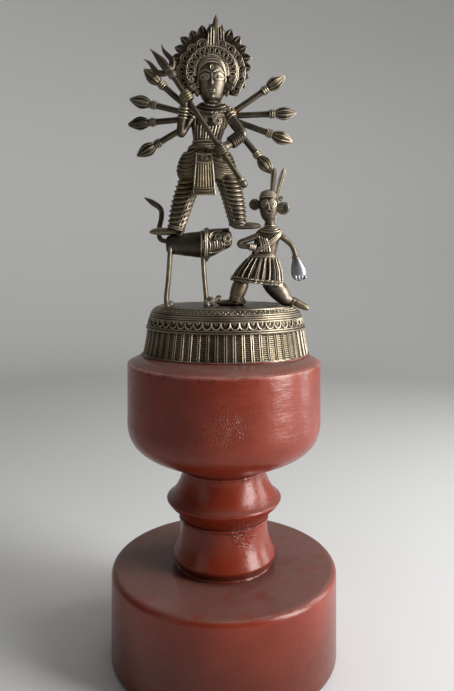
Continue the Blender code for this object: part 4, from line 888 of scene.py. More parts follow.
# Each row: share of the drop, share of the flare.
SKIRT_FLARE = ((0.0, 0.0), (0.14, 0.22), (0.55, 0.74), (0.9, 1.0), (1.0, 1.0))
chest_levels = [(75.0, 29.5, 0, 9.1, 5.2), (82.3, 31.25, 0, 9.2, 5.6), (88.3, 32.75, 0, 9.7, 6.0),
                (91.7, 33.6, 0, 9.8, 5.5), (94.2, 34.4, 0, 7.2, 4.9), (95.6, 34.5, 0, 4.2, 4.2)]
demon_torso = upright("demon_chest", chest_levels, BRASS_DARK_AND_SHADED, "demon_torso")
face_levels = [(94.6, 34.5, 0, 3.8, 3.8), (99.6, 34.2, 0, 3.6, 3.8), (102.6, 33.5, -0.5, 5.0, 5.0),
               (107.8, 33.5, -0.5, 6.6, 6.3), (113.2, 33.5, -0.5, 7.0, 6.7), (118.6, 33.4, -0.5, 6.3, 6.0),
               (122.2, 33.2, -0.5, 4.2, 4.0), (123.7, 33.2, -0.5, 1.2, 1.2)]
demon_head = upright("demon_face", face_levels, BRASS_DARK_AND_SHADED, "demon_head")


def skirt_ring(share, depth=1.0):
    """Places round the demon's skirt at a share of its drop, with pleats of a depth in millimetres."""
    flare = read_off(SKIRT_FLARE, share)
    wide, deep = (half + flare * growth for half, growth in zip(WAIST_HALF, HEM_GROWTH))
    pleat = min(1.0, share / 0.3) * min(1.0, (1.0 - share) / 0.08 + 0.15)
    ring = []
    for turn in full_turn(SKIRT_SIDES):
        fold = depth * pleat * (1 - abs(math.cos(SKIRT_PLEATS * turn / 2)) ** 0.8)
        x = (wide - fold) * math.cos(turn)
        ring.append(spot(WAIST_X + SKIRT_LEAN * share + x, (deep - fold) * math.sin(turn),
                         SKIRT_TOP - share * (SKIRT_DROP + HEM_TILT * x)))
    return ring


skirt_rings = [skirt_ring(i / 30) for i in range(31)]
finish_piece("demon_bell_skirt", skinned(skirt_rings, "demon_bell_skirt"), BRASS_DARK_AND_SHADED, "demon_skirt")

# %% [markdown]
# ## Demon's limbs
# One bent leg, one trailing leg and two thin arms, all rods of changing thickness. The open palm is the
# same kind of rod, flattened, with four short fingers laid on it.
# %% Demon's limbs
# Each row: name, node, finish, how many rings, flatness, stops.
LIMBS = (
    ("demon_front_shin", "demon_front_leg", BRASS, 40, 1.0,
     [(16, -2, 58.5, 3.3), (13.4, -2, 54.6, 5.6), (11.4, -2.2, 50.0, 6.0), (9.6, -2.6, 45.0, 5.5),
      (8.2, -3, 40.4, 4.2), (8.0, -3, 38.4, 3.6)]),
    ("demon_front_toes", "demon_front_foot", BRASS, 40, 1.0,
     [(14.6, -3, 39.3, 1.8), (11, -3, 39.2, 2.8), (5.5, -3, 39.0, 2.9), (-1.0, -3, 39.0, 2.4),
      (-4.6, -3, 40.2, 1.7), (-5.7, -3, 42.8, 1.1)]),
    ("demon_rear_thigh", "demon_rear_leg", BRASS, 40, 1.0,
     [(33, 0, 57.0, 6.2), (36.5, 0, 53.0, 7.4), (41.4, -0.6, 47.2, 7.1), (45.5, -1.1, 42.4, 5.6),
      (49.4, -1.4, 40.4, 3.8), (52.0, -1.5, 39.4, 2.7)]),
    ("demon_rear_toes", "demon_rear_foot", BRASS, 40, 1.0,
     [(50.6, -1.5, 41.6, 2.4), (53.6, -1.5, 39.6, 2.9), (57.4, -1.5, 37.4, 2.8), (60.8, -1.5, 35.7, 2.4),
      (63.2, -1.5, 34.6, 1.6)]),
    ("demon_bent_arm", "demon_right_arm", BRASS, 60, 1.0,
     [(27.7, -1, 89.9, 2.5), (18.3, -2.4, 86.4, 2.3), (12.2, -3.4, 84.0, 2.1), (12.4, -4.0, 81.8, 2.1),
      (18.5, -4.5, 81.0, 2.1), (23.6, -5.2, 79.6, 2.2)]),
    ("demon_hanging_arm", "demon_left_arm", BRASS, 40, 1.0,
     [(41.0, 0, 90.2, 2.6), (45.6, -0.4, 86.6, 2.2), (51.4, -1, 80.6, 1.95), (53.8, -1.5, 71.6, 1.9)]),
    ("demon_open_palm", "demon_left_hand", BRASS_GREY, 40, 0.5,
     [(53.7, -1.5, 73.2, 2.2), (54.2, -1.6, 69.8, 3.6), (55.2, -1.8, 64.5, 5.3), (56.0, -1.9, 60.4, 5.5),
      (56.7, -2, 57.0, 4.0), (56.9, -2, 55.2, 1.2)]),
)
for name, node, material, count, flat, stops in LIMBS:
    rod(name, stops, material, node, count=count, flat=flat)
for n in range(4):
    finger = [(52.6 + 2.6 * n, -2.8, 60.5 - 0.5 * n, 0.9), (53.2 + 2.4 * n, -3.6, 58.2, 1.25),
              (54.2 + 1.8 * n, -2.6, 56.2, 0.6)]
    rod("demon_finger_" + str(n), finger, BRASS_GREY, count=14, sides=12)
print("demon's limbs:", len(LIMBS))

# %% [markdown]
# ## Wax wires
# All ornament on the real casting is wire: rolled wax threads laid side by side, coiled, or twisted in
# pairs. Curve objects with a bevel could draw them. A Geometry Nodes tree does it for any number of
# lines at once. Two trees are needed, which begin and end alike, so those steps come first.
# %% Steps of a tree
THREAD_SIDES, STRAND_SIDES = 7, 6


def new_tree(name, *sizes):
    """A tree with a geometry, some sizes and a finish as inputs; gives it and those inputs."""
    tree = bpy.data.node_groups.new(name, "GeometryNodeTree")
    inputs = [("Geometry", "Geometry"), *((size, "Float") for size in sizes), ("Finish", "Material")]
    for label, kind in inputs:
        tree.interface.new_socket(name=label, in_out="INPUT", socket_type="NodeSocket" + kind)
    tree.interface.new_socket(name="Geometry", in_out="OUTPUT", socket_type="NodeSocketGeometry")
    return tree, tree.nodes.new("NodeGroupInput").outputs


def swept_section(tree, curve, radius, sides):
    """A round section along a curve, with closed ends."""
    circle = wired(tree, "GeometryNodeCurvePrimitiveCircle", Resolution=sides, Radius=radius)["Curve"]
    return wired(tree, "GeometryNodeCurveToMesh", Curve=curve, Profile_Curve=circle, Fill_Caps=True)["Mesh"]


def close_tree(tree, given, geometry):
    """The usual end of a tree: real geometry, smooth, in its finish."""
    real = wired(tree, "GeometryNodeRealizeInstances", Geometry=geometry)["Geometry"]
    smooth = wired(tree, "GeometryNodeSetShadeSmooth", Geometry=real)["Geometry"]
    finished = wired(tree, "GeometryNodeSetMaterial", Geometry=smooth, Material=given["Finish"])["Geometry"]
    wired(tree, "NodeGroupOutput", Geometry=finished)
    return tree


print("a thread has", THREAD_SIDES, "sides and a strand of rope", STRAND_SIDES)

# %% [markdown]
# ## Thread and rope
# One tree sweeps a round section along its lines, so a thread is only a list of places. The other makes
# the rope borders. Two lines could be wound by hand for each rope. The tree does it from one line: it
# turns the normal round the line as the length grows, and moves two strands out along it.
# %% Thread trees


def make_thread_tree():
    """Sweeps a round section along lines."""
    tree, given = new_tree("wax_thread", "Thickness")
    line = wired(tree, "GeometryNodeMeshToCurve", Mesh=given["Geometry"])["Curve"]
    return close_tree(tree, given, swept_section(tree, line, given["Thickness"], THREAD_SIDES))


def make_rope_tree():
    """Twists two threads round lines."""
    tree, given = new_tree("twisted_rope", "Thickness", "Pitch")
    line = wired(tree, "GeometryNodeMeshToCurve", Mesh=given["Geometry"])["Curve"]
    even = wired(tree, "GeometryNodeResampleCurve", settings={"mode": "LENGTH"}, Curve=line,
                 Length=given["Thickness"])["Curve"]
    length = wired(tree, "GeometryNodeSplineParameter")["Length"]
    tangent = wired(tree, "GeometryNodeInputTangent")["Tangent"]
    normal = wired(tree, "GeometryNodeInputNormal")["Normal"]
    turns = worked_out(tree, "DIVIDE", length, given["Pitch"])
    both = tree.nodes.new("GeometryNodeJoinGeometry")
    for start in (0.0, 0.5):
        angle = worked_out(tree, "MULTIPLY", worked_out(tree, "ADD", turns, start), 2 * math.pi)
        out = wired(tree, "ShaderNodeVectorRotate", Vector=normal, Axis=tangent, Angle=angle)["Vector"]
        aside = wired(tree, "ShaderNodeVectorMath", out, settings={"operation": "SCALE"},
                      Scale=given["Thickness"])["Vector"]
        strand = wired(tree, "GeometryNodeSetPosition", Geometry=even, Offset=aside)["Geometry"]
        tree.links.new(swept_section(tree, strand, given["Thickness"], STRAND_SIDES), both.inputs["Geometry"])
    return close_tree(tree, given, both.outputs["Geometry"])


THREAD_TREE = make_thread_tree()
ROPE_TREE = make_rope_tree()
print("nodes in the trees:", {tree.name: len(tree.nodes) for tree in (THREAD_TREE, ROPE_TREE)})

# %% [markdown]
# ## Laying a wire
# A wire starts as bare edges on a carrier object with one of the two trees. It could stay live, but a
# finished piece has to be a plain mesh, so the evaluated result is taken and the carrier removed.
# %% Laying wires


def lay(name, paths, thickness, material=BRASS_WIRE, closed=False, body="group", pitch=None):
    """Lays wires along paths; a pitch twists two of them into a rope. Sizes are in millimetres."""
    tree = ROPE_TREE if pitch else THREAD_TREE
    places, edges = [], []
    for path in paths:
        first = len(places)
        places += [tuple(p) for p in path]
        edges += [(i, i + 1) for i in range(first, len(places) - 1)]
        if closed:
            edges.append((len(places) - 1, first))
    lines = bpy.data.meshes.new(name + "_lines")
    lines.from_pydata(places, edges, [])
    carrier = bpy.data.objects.new(name + "_lines", lines)
    bpy.context.scene.collection.objects.link(carrier)
    modifier = carrier.modifiers.new("wire", "NODES")
    modifier.node_group = tree
    values = {"Thickness": 0.001 * thickness, "Pitch": 0.001 * (pitch or 0.0), "Finish": material}
    for item in tree.interface.items_tree:
        if item.name in values:
            modifier[item.identifier] = values[item.name]
    mesh = bpy.data.meshes.new_from_object(carrier.evaluated_get(bpy.context.evaluated_depsgraph_get()))
    bpy.data.objects.remove(carrier)
    bpy.data.meshes.remove(lines)
    mesh.name = name
    return finish_piece(name, mesh, material, body=body)


print("wires lie in", BRASS_WIRE.name, "unless a call says otherwise")

# %% [markdown]
# ## Placing wires on a casting
# A wire has to touch what carries it from end to end. Its places could be worked out by hand, but the
# castings are uneven. So a search tree over a casting's faces moves rough places onto the skin: to the
# nearest face, or straight from the front or the back.
# %% Placing wires
RAY_START = 0.2


def surface(*pieces):
    """A search tree over the faces of some pieces."""
    places, faces = [], []
    for piece in pieces:
        first = len(places)
        places += [v.co.copy() for v in piece.data.vertices]
        faces += [[first + i for i in p.vertices] for p in piece.data.polygons]
    return BVHTree.FromPolygons(places, faces)


def snug(skin, points, lift):
    """Each place moved to the nearest face, then out by lift millimetres."""
    hits = [skin.find_nearest(point) for point in points]
    return [place + 0.001 * lift * normal for place, normal, _, _ in hits]


def pressed(skin, points, lift, facing=-1):
    """Places pressed onto a skin straight from the front (facing -1) or the back (1)."""
    path = []
    for point in points:
        start = Vector((point.x, RAY_START * facing, point.z))
        place, normal, _, _ = skin.ray_cast(start, Vector((0, -facing, 0)))
        if place is None:
            place, normal, _, _ = skin.find_nearest(point)
        path.append(place + 0.001 * lift * normal)
    return path


print("wires are pressed on from", RAY_START, "m away")

# %% [markdown]
# ## Lines for wires
# Bows, hoops, rings and coils come back all over the figures. Each could be drawn by hand as a curve, but
# a few sizes describe it, as they do for wax that is rolled round a stick.
# %% Lines for wires
HOOP_STEPS, COIL_STEPS, COIL_HOLE = 28, 18, 0.25


def shares(count):
    """Evenly spaced numbers from 0 to 1, both included."""
    return [k / (count - 1) for k in range(count)]


def bow(points, count=24):
    """A smooth line through places in millimetres."""
    return [row.to_3d() for row in curve_through([spot(*p) for p in points], count)]


def hoop(centre, axis, radius):
    """A circle of a radius in millimetres round an axis."""
    axis = axis.normalized()
    side = axis.orthogonal().normalized()
    across = axis.cross(side)
    return [centre + 0.001 * radius * (math.cos(t) * side + math.sin(t) * across)
            for t in full_turn(HOOP_STEPS)]


def front_ring(x, y, z, radius, count):
    """Places round a circle that faces the front, in millimetres."""
    return [spot(x + radius * math.cos(t), y, z + radius * math.sin(t)) for t in full_turn(count)]


def coil(x, y, z, radius, turns, start=90.0, sense=1):
    """A flat spiral that faces the front, from its rim inwards, in millimetres and degrees."""
    path = []
    for share in shares(int(COIL_STEPS * turns) + 1):
        reach = radius * (1 - (1 - COIL_HOLE) * share)
        turn = math.radians(start) + sense * 2 * math.pi * turns * share
        path.append(spot(x + reach * math.cos(turn), y, z + reach * math.sin(turn)))
    return path


print("a coil of 2 turns has", len(coil(0, 0, 0, 1, 2)), "places")

# %% [markdown]
# ## Wires on the base
# Double upright wires stand on the wall with fine level wires behind them. Above come plain wires, a
# row of hanging loops, then level wires and two ropes where the dome begins. Equal angles would crowd
# the ribs at the oval's ends, so they are spaced by length along the outline.
# %% Base wires
RIBS, RIB_FOOT, RIB_LENGTH = 56, 0.9, 19.2
HALF_PAIR = 0.0125
LOOPS, LOOP_TOP = 52, 27.9
OUTLINE_STEPS = 1440


def base_wall(turn, height, lift):
    """A place on the base's wall at an angle and a height, out by lift millimetres."""
    out = lift - rib_room(height)
    wide, deep = (half * read_off(BASE_SHAPE, height) + out for half in BASE_HALF)
    return spot(BASE_CENTRE[0] + wide * math.cos(turn), BASE_CENTRE[1] + deep * math.sin(turn), height)


def even_turns(count):
    """Angles that are evenly spaced along the oval's outline."""
    steps = [*full_turn(OUTLINE_STEPS), 2 * math.pi]
    lengths = [0.0]
    for a, b in zip(steps, steps[1:]):
        lengths.append(lengths[-1] + math.hypot(BASE_HALF[0] * (math.cos(b) - math.cos(a)),
                                                BASE_HALF[1] * (math.sin(b) - math.sin(a))))
    turns, k = [], 0
    for i in range(count):
        while lengths[k + 1] < lengths[-1] * i / count:
            k += 1
        turns.append(steps[k])
    return turns


def around(height, lift, count=240):
    """A level line round the base's wall."""
    return [base_wall(turn, height, lift) for turn in full_turn(count)]


def hanging_loop(turn, half_angle, drop, power, lift, count):
    """A loop that hangs from the band, as wide as two half angles, in millimetres and radians."""
    return [base_wall(turn + half_angle * math.cos(math.pi * s),
                      LOOP_TOP - drop * math.sin(math.pi * s) ** power, lift) for s in shares(count)]


ribs = [[base_wall(turn + aside, RIB_FOOT + RIB_LENGTH * s, 0.45) for s in shares(11)]
        for turn in even_turns(RIBS) for aside in (-HALF_PAIR, HALF_PAIR)]
lay("base_upright_wires", ribs, 0.52, BRASS)
lay("base_level_wires", [around(1.6 + 1.35 * n, 0.12, 200) for n in range(14)], 0.34, BRASS_WARM, closed=True)
border = [around(height, lift) for height, lift in ((0.7, 0.3), (RIB_TOP, 0.75), (22.1, 0.4), (28.3, 0.35))]
lay("base_border_wires", border, 0.72, closed=True)
loops = []
for turn in even_turns(LOOPS):
    loops.append(hanging_loop(turn, 0.053, 4.7, 0.75, 0.4, 17))
    loops.append(hanging_loop(turn, 0.016, 1.5, 1.0, 0.3, 9))
lay("base_hanging_loops", loops, 0.6)
dome_wires = ((0.907, 29.85), (0.901, 31.35), (0.885, 32.75), (0.797, 36.05))
lay("base_dome_wires", [base_oval(share, height) for share, height in dome_wires], 0.68, closed=True)
lay("base_dome_rope", [base_oval(0.861, 33.9), base_oval(0.829, 35.0)], 0.5, closed=True, pitch=3.4)
lay("base_top_wires", [base_oval(0.757, 36.25), base_oval(0.735, 36.35)], 0.45, closed=True)
print("upright wires:", len(ribs), "loops:", len(loops))

# %% [markdown]
# ## Halo plate
# A plate with leaf teeth stands behind the head. A flat outline with a thickness would give the teeth,
# but each leaf also swells towards its tip. So the plate is a grid of places in front and behind,
# closed at the rim. Lean and length differ from leaf to leaf, as they do on hand-cut wax.
# %% Halo plate
HALO_X, HALO_Z, HALO_R = -9.6, 217.6, 31.3
TEETH, TOOTH_STEPS, TOOTH_DEPTH, HALO_SPAN = 19, 10, 5.4, 296.0
HALO_FIRST = 90 - HALO_SPAN / 2
HALO_FRONT, HALO_BACK, LEAF_SWELL = 1.4, 3.2, 0.75
SWELL_FROM, TOOTH_FROM = 0.7, 0.9
HALO_RINGS = (0.28, 0.5, SWELL_FROM, 0.80, 0.86, 0.93, 1.0)


def plate_mesh(name, front, back):
    """A closed plate between two grids of places of the same size."""
    bm = bmesh.new()
    grids = [[[bm.verts.new(p) for p in row] for row in grid] for grid in (front, back)]
    rows, columns = len(front), len(front[0])
    for grid in grids:
        for i in range(rows - 1):
            for j in range(columns - 1):
                bm.faces.new((grid[i][j], grid[i][j + 1], grid[i + 1][j + 1], grid[i + 1][j]))
    rim = [(0, j) for j in range(columns)] + [(i, columns - 1) for i in range(1, rows)]
    rim += [(rows - 1, j) for j in range(columns - 2, -1, -1)] + [(i, 0) for i in range(rows - 2, 0, -1)]
    for (i, j), (k, m) in zip(rim, rim[1:] + rim[:1]):
        bm.faces.new((grids[0][i][j], grids[0][k][m], grids[1][k][m], grids[1][i][j]))
    bmesh.ops.recalc_face_normals(bm, faces=bm.faces)
    return mesh_of(bm, name)


def halo_place(radius, degrees, y):
    """A place round the halo's middle, in millimetres and degrees."""
    turn = math.radians(degrees)
    return spot(HALO_X + radius * math.cos(turn), y, HALO_Z + radius * math.sin(turn))


def leaf(number):
    """Where across its width a leaf has its tip, and how much shorter it is than the longest."""
    return 0.5 + 0.14 * math.sin(7.3 * number + 1.0), 0.7 + 0.7 * math.sin(4.1 * number)


front, back = [], []
for i in range(TEETH * TOOTH_STEPS + 1):
    degrees = HALO_FIRST + HALO_SPAN * i / (TEETH * TOOTH_STEPS)
    lean, short = leaf(i // TOOTH_STEPS)
    along = (i / TOOTH_STEPS) % 1.0
    peak = along / lean if along < lean else (1 - along) / (1 - lean)
    edge = HALO_R - short * peak - TOOTH_DEPTH * (1 - peak)
    reaches = [edge * s if s > TOOTH_FROM else HALO_R * s * 0.985 for s in HALO_RINGS]
    swells = [LEAF_SWELL * peak * min(1.0, max(0.0, (s - SWELL_FROM) / 0.2)) for s in HALO_RINGS]
    front.append([halo_place(reach, degrees, HALO_FRONT - swell) for reach, swell in zip(reaches, swells)])
    back.append([halo_place(reach, degrees, HALO_BACK) for reach in reaches])
# The plate's dark brass is partly painted shade.
finish_piece("halo_leaf_plate", plate_mesh("halo_leaf_plate", front, back), BRASS_DARK_AND_SHADED, "halo")
print("halo grid:", len(front), "by", len(front[0]))

# %% [markdown]
# ## Halo wires
# Each leaf has a vein and an edge of wire. The back isn't seen in the picture, and such plates are plain
# there, so it has only a few rings and spokes.
# %% Halo wires
leaf_step = HALO_SPAN / TEETH
leaf_veins, leaf_edges = [], []
for i in range(TEETH):
    first = HALO_FIRST + HALO_SPAN * i / TEETH
    lean, short = leaf(i)
    leaf_veins.append([halo_place(25.0 + (TOOTH_DEPTH - short) * s, first + leaf_step * lean, 0.55)
                       for s in shares(6)])
    edge = ((26.7, 0.06), (29.0 - 0.5 * short, 0.5 * lean), (31.0 - short, lean),
            (29.0 - 0.5 * short, 0.5 + 0.5 * lean), (26.7, 0.94))
    leaf_edges.append([halo_place(radius, first + share * leaf_step, 0.85) for radius, share in edge])
lay("halo_leaf_veins", leaf_veins, 0.42)
lay("halo_leaf_edges", leaf_edges, 0.46, BRASS_DARK_AND_SHADED)
halo_back = [[halo_place(radius, -50 + 280 * s, 3.25) for s in shares(101)] for radius in (12.0, 18.0, 24.5)]
halo_back += [[halo_place(radius, degrees, 3.25) for radius in (12.5, 15.0, 18.0, 21.0, 24.0)]
              for degrees in range(-40, 221, 20)]
lay("halo_back_wires", halo_back, 0.5, BRASS_DARK_AND_SHADED)
print("halo leaves:", len(leaf_veins), "wires behind:", len(halo_back))

# %% [markdown]
# ## Crown band
# A raised band with long open loops follows the hair, and coils lie between it and the halo's leaves.
# The band is a plate whose front steps forward and back. The coils are spirals of wire that turn
# outwards on either side, because the maker rolled them in pairs.
# %% Crown band and its coils
HEAD_X, HEAD_Z = -9.2, 211.0
BAND_START, BAND_SPAN, BAND_STEPS, BAND_BACK = -44, 268, 133, 1.3
# Each row: radius, place from front to back.
BAND_PROFILE = ((10.6, -4.0), (11.4, -4.9), (15.0, -5.2), (18.6, -4.9), (19.4, -2.4), (22.0, -1.7),
                (24.3, -1.2), (25.0, -0.2))
COIL_REACH, COIL_STEP = 22.3, 21.5


def head_place(radius, degrees, y):
    """A place round the head's middle, in millimetres and degrees."""
    turn = math.radians(degrees)
    return spot(HEAD_X + radius * math.cos(turn), y, HEAD_Z + radius * math.sin(turn))


band_turns = [BAND_START + BAND_SPAN * s for s in shares(BAND_STEPS)]
front = [[head_place(radius, degrees, y) for radius, y in BAND_PROFILE] for degrees in band_turns]
back = [[head_place(radius, degrees, BAND_BACK) for radius, _ in BAND_PROFILE] for degrees in band_turns]
finish_piece("crown_band", plate_mesh("crown_band", front, back), BRASS_DARK_AND_SHADED, "crown")
# Each row: radius, place from front to back, degrees of its start.
border = ((11.4, -5.0, -16), (12.5, -5.3, -16), (18.6, -5.1, -30), (19.7, -3.0, -40), (24.9, -0.9, -43))
lay("crown_border_wires", [[head_place(radius, start + (180 - 2 * start) * s, y) for s in shares(91)]
                           for radius, y, start in border], 0.62)
slots = [[head_place(15.5 + 2.35 * math.cos(t), -8 + 196 * s + 5.2 * math.sin(t), -5.4)
          for t in full_turn(18)] for s in shares(15)]
lay("crown_long_loops", slots, 0.6, closed=True)
coils = []
for n in range(6):
    for degrees in (-36 + COIL_STEP * n, 216 - COIL_STEP * n):
        turn = math.radians(degrees)
        coils.append(coil(HEAD_X + COIL_REACH * math.cos(turn), -2.5, HEAD_Z + COIL_REACH * math.sin(turn),
                          4.0, 1.8, degrees + 90, 1 if degrees < 90 else -1))
for side in (-1, 1):
    coils.append(coil(HEAD_X + side * 15.3, -5.5, 204.6, 2.4, 2.0, sense=side))
    coils.append(coil(HEAD_X + side * 13.8, -5.5, 199.4, 2.3, 2.0, sense=side))
lay("crown_coils", coils, 0.64)
print("crown coils:", len(coils), "open loops:", len(slots))

# %% [markdown]
# ## Crest
# Three leaves stand on the crown, one tall and two short, with thin stems laid over them. The leaves are
# flat tapered rods in one mesh, because they were cast in one piece.
# %% Crest
CREST_X, CREST_Y, CREST_FOOT = -6.1, -0.9, 231.0
leaves = []
for aside, top, wide in ((0.0, 255.0, 2.5), (-4.1, 248.0, 2.1), (4.1, 248.0, 2.1)):
    rows = ((0.7, CREST_FOOT, 1.8), (1.0, 238.0, wide), (1.1, top - 5.5, 0.85 * wide), (1.15, top, 0.12))
    stops = [(CREST_X + spread * aside, CREST_Y, z, radius) for spread, z, radius in rows]
    leaves.append(stop_rings(stops, 40, 20, 0.62))
crest = finish_piece("crest_leaves", joined("crest_leaves", leaves), BRASS_DARK_AND_SHADED, "crown_crest")
stems = []
for aside, top in ((-6.0, 241.5), (-3.9, 245), (-1.7, 246), (0.0, 253), (1.7, 246), (3.9, 245), (6.0, 241.5)):
    stems.append([spot(CREST_X + aside * (1 - 0.12 * s), -2.5 + s ** 3, CREST_FOOT + (top - CREST_FOOT) * s)
                  for s in shares(10)])
lay("crest_stems", stems, 0.5)
print("crest top", round(max(v.co.z for v in crest.data.vertices), 4))

# %% [markdown]
# ## Goddess's face
# The face is plain folk work: a straight nose, leaf-shaped eyes laid in wire, brows, lips and a forehead
# mark. It could be sculpted, but a wax worker builds it too: rods for what stands out, wires for lines.
# A pupil points straight forward, the very direction that a rod's rings start from, so its own are drawn
# one by one.
# %% Face
FACE_FRONT = -14
MOUTH_Z, EYE_Z = 195.8, 205.6
# Each row: place from front to back, radius.
PUPIL_PROFILE = ((0.5, 0.9), (-0.2, 1.1), (-0.6, 0.3))
face_skin = surface(head)
nose = [(FACE_X, -10.2, 209.6, 0.6), (FACE_X, -11.2, 205.0, 1.0), (FACE_X, -12.4, 200.9, 1.55),
        (FACE_X, -10.8, 199.4, 0.8)]
rod("goddess_nose", nose, BRASS, count=20, sides=14)
chin = [(FACE_X - 2.4, -8.0, 191.9, 0.6), (FACE_X, -8.7, 191.7, 1.8), (FACE_X + 2.4, -8.0, 191.9, 0.6)]
rod("goddess_chin", chin, BRASS, count=16, sides=16)
for name, z in (("goddess_upper_lip", 196.3), ("goddess_lower_lip", 194.9)):
    lip = [(FACE_X - 3.0, -9.2, MOUTH_Z, 0.2), (FACE_X - 1.3, -10.0, z, 0.8), (FACE_X + 1.3, -10.0, z, 0.8),
           (FACE_X + 3.0, -9.2, MOUTH_Z, 0.2)]
    rod(name, lip, BRASS, count=20, sides=12)
eyes, brows = [], []
for side, name in ((-1, "goddess_pupil_right"), (1, "goddess_pupil_left")):
    for half, tall in ((3.7, 2.3), (2.7, 1.5)):
        lid = [spot(FACE_X + side * 4.9 + half * math.cos(t), FACE_FRONT,
                    EYE_Z + tall * math.sin(t) * abs(math.sin(t)) ** 0.3) for t in full_turn(24)]
        eyes.append(pressed(face_skin, lid, 0.2))
    brow = [spot(FACE_X + side * (1.2 + 7.6 * s), FACE_FRONT, 209.0 + 1.7 * math.sin(math.pi * s))
            for s in shares(11)]
    brows.append(pressed(face_skin, brow, 0.25))
    pupil = pressed(face_skin, [spot(FACE_X + side * 4.7, FACE_FRONT, EYE_Z)], 0.1)[0]
    rings = [[pupil + 0.001 * Vector((radius * math.cos(t), y, radius * math.sin(t))) for t in full_turn(14)]
             for y, radius in curve_through(PUPIL_PROFILE, 10)]
    finish_piece(name, skinned(rings, name), BRASS)
lay("goddess_eyes", eyes, 0.58, closed=True)
lay("goddess_brows", brows, 0.68)
mark = [spot(FACE_X + 0.95 * math.sin(t), FACE_FRONT, 212.6 + 1.9 * math.cos(t)) for t in full_turn(16)]
lay("forehead_mark", [pressed(face_skin, mark, 0.2)], 0.45, closed=True)
print("lines of eyes and brows:", len(eyes) + len(brows))

# %% [markdown]
# ## Hair and earrings
# Five wires follow the hairline, and long ones lie down the back of the head. The earrings are small
# turned drops, each with two coils in front. Rods and wires serve here as on the rest.
# %% Hair and earrings
hairline = []
for n in range(5):
    arch = [spot(FACE_X + (11.4 - 0.8 * n) * math.cos(math.pi * s), -6.8 + 0.6 * n,
                 203.0 + (12.8 + 1.9 * n) * math.sin(math.pi * s)) for s in shares(31)]
    hairline.append(snug(face_skin, arch, 0.35))
lay("goddess_hairline", hairline, 0.62)
back_hair = []
for n in range(-5, 6):
    strand = bow([(FACE_X + 0.9 * n, 0, 222.0 - 0.16 * n * n), (FACE_X + 1.75 * n, 0, 212.0),
                  (FACE_X + 1.75 * n, 0, 203.0), (FACE_X + 1.0 * n, 0, 193.5)], 26)
    back_hair.append(pressed(face_skin, strand, 0.3, 1))
lay("goddess_back_hair", back_hair, 0.85)
for side, name in ((-1, "earring_right"), (1, "earring_left")):
    x = FACE_X + side * 10.9
    drop = ((203.4, 0.9), (201.6, 1.9), (199.6, 1.2), (197.4, 2.3), (194.6, 1.9), (192.6, 0.5))
    rod(name + "_drop", [(x, -3, z, radius) for z, radius in drop], BRASS, name, sides=18)
    lay(name + "_coil", [coil(x + 0.2 * side, -5.4, 200.6, 2.3, 1.8, sense=side),
                         coil(x, -5.2, 196.0, 1.9, 1.6, sense=side)], 0.42)
print("hair wires:", len(hairline) + len(back_hair))

# %% [markdown]
# ## Necklaces, chest and belt
# Plain wires and ropes take turns round the neck, each hanging lower in front than the one above. Wires
# also cover chest and back, and four rings make the belt. Placing every line by eye would be slow, so
# each set is a loop over a few numbers, and the lines are then pressed onto the chest.
# %% Necklaces, chest and belt
CHEST_X, CHEST_FRONT = -10.2, -12
NECK_TOP = 189.6
chest_skin = surface(torso, head)
# Each row: height, reach to the sides.
necklaces = ((187.9, 7.4), (186.9, 8.8), (185.5, 10.2), (184.0, 11.8), (182.2, 13.4))
collars = [snug(chest_skin, level_ring(FACE_X, 0.6, z, reach, reach * 0.62, 56, 0.75 * (NECK_TOP - z)), 0.35)
           for z, reach in necklaces]
lay("goddess_plain_collars", collars[::2], 0.55, closed=True)
lay("goddess_rope_collars", collars[1::2], 0.5, closed=True, pitch=2.4)
chest_lines = []
for side in (-1, 1):
    spiral = coil(-10.4 + side * 5.6, FACE_FRONT, 174.2, 3.4, 2.3, sense=side)
    chest_lines.append(pressed(chest_skin, spiral, 0.3))
    for n in range(4):
        line = bow([(CHEST_X + side * (0.5 + 0.5 * n), CHEST_FRONT, 179.2 - 2.0 * n),
                    (CHEST_X + side * (5.6 + 0.8 * n), CHEST_FRONT, 179.6 - 0.3 * n),
                    (CHEST_X + side * (10.4 + 0.6 * n), -10, 177.0 - 1.4 * n),
                    (-10.9 + side * (10.4 - 0.3 * n), -9, 170.8 - 1.5 * n)])
        chest_lines.append(pressed(chest_skin, line, 0.3))
    for n in range(5):
        line = bow([(-11.4 + side * (1.0 + 2.3 * n), CHEST_FRONT, 169.8 + 0.4 * n),
                    (-12.1 + side * (1.0 + 2.1 * n), CHEST_FRONT, 165.5),
                    (-12.7 + side * (0.9 + 1.95 * n), CHEST_FRONT, 160.8)])
        chest_lines.append(pressed(chest_skin, line, 0.25))
lay("goddess_chest_wires", chest_lines, 0.6)
back_lines = []
for n in range(-3, 4):
    line = bow([(-10 + 3.2 * n, 12, 184.0 - 0.5 * abs(n)), (-11.5 + 2.4 * n, 12, 172),
                (-12.8 + 2.0 * n, 12, 160.8)])
    back_lines.append(pressed(chest_skin, line, 0.3, 1))
lay("goddess_back_wires", back_lines, 0.62)
waist_skin = surface(torso, hips)
belt = [snug(waist_skin, level_ring(HIP_X, 0, z, 12 + 0.25 * (160 - z), 9, 52), 0.35)
        for z in (154.2, 155.6, 157.2, 159.6)]
lay("goddess_belt_wires", [belt[0], belt[2], belt[3]], 0.62, closed=True)
lay("goddess_belt_rope", [belt[1]], 0.5, closed=True, pitch=2.4)
print("chest wires:", len(chest_lines) + len(collars), "behind:", len(back_lines))

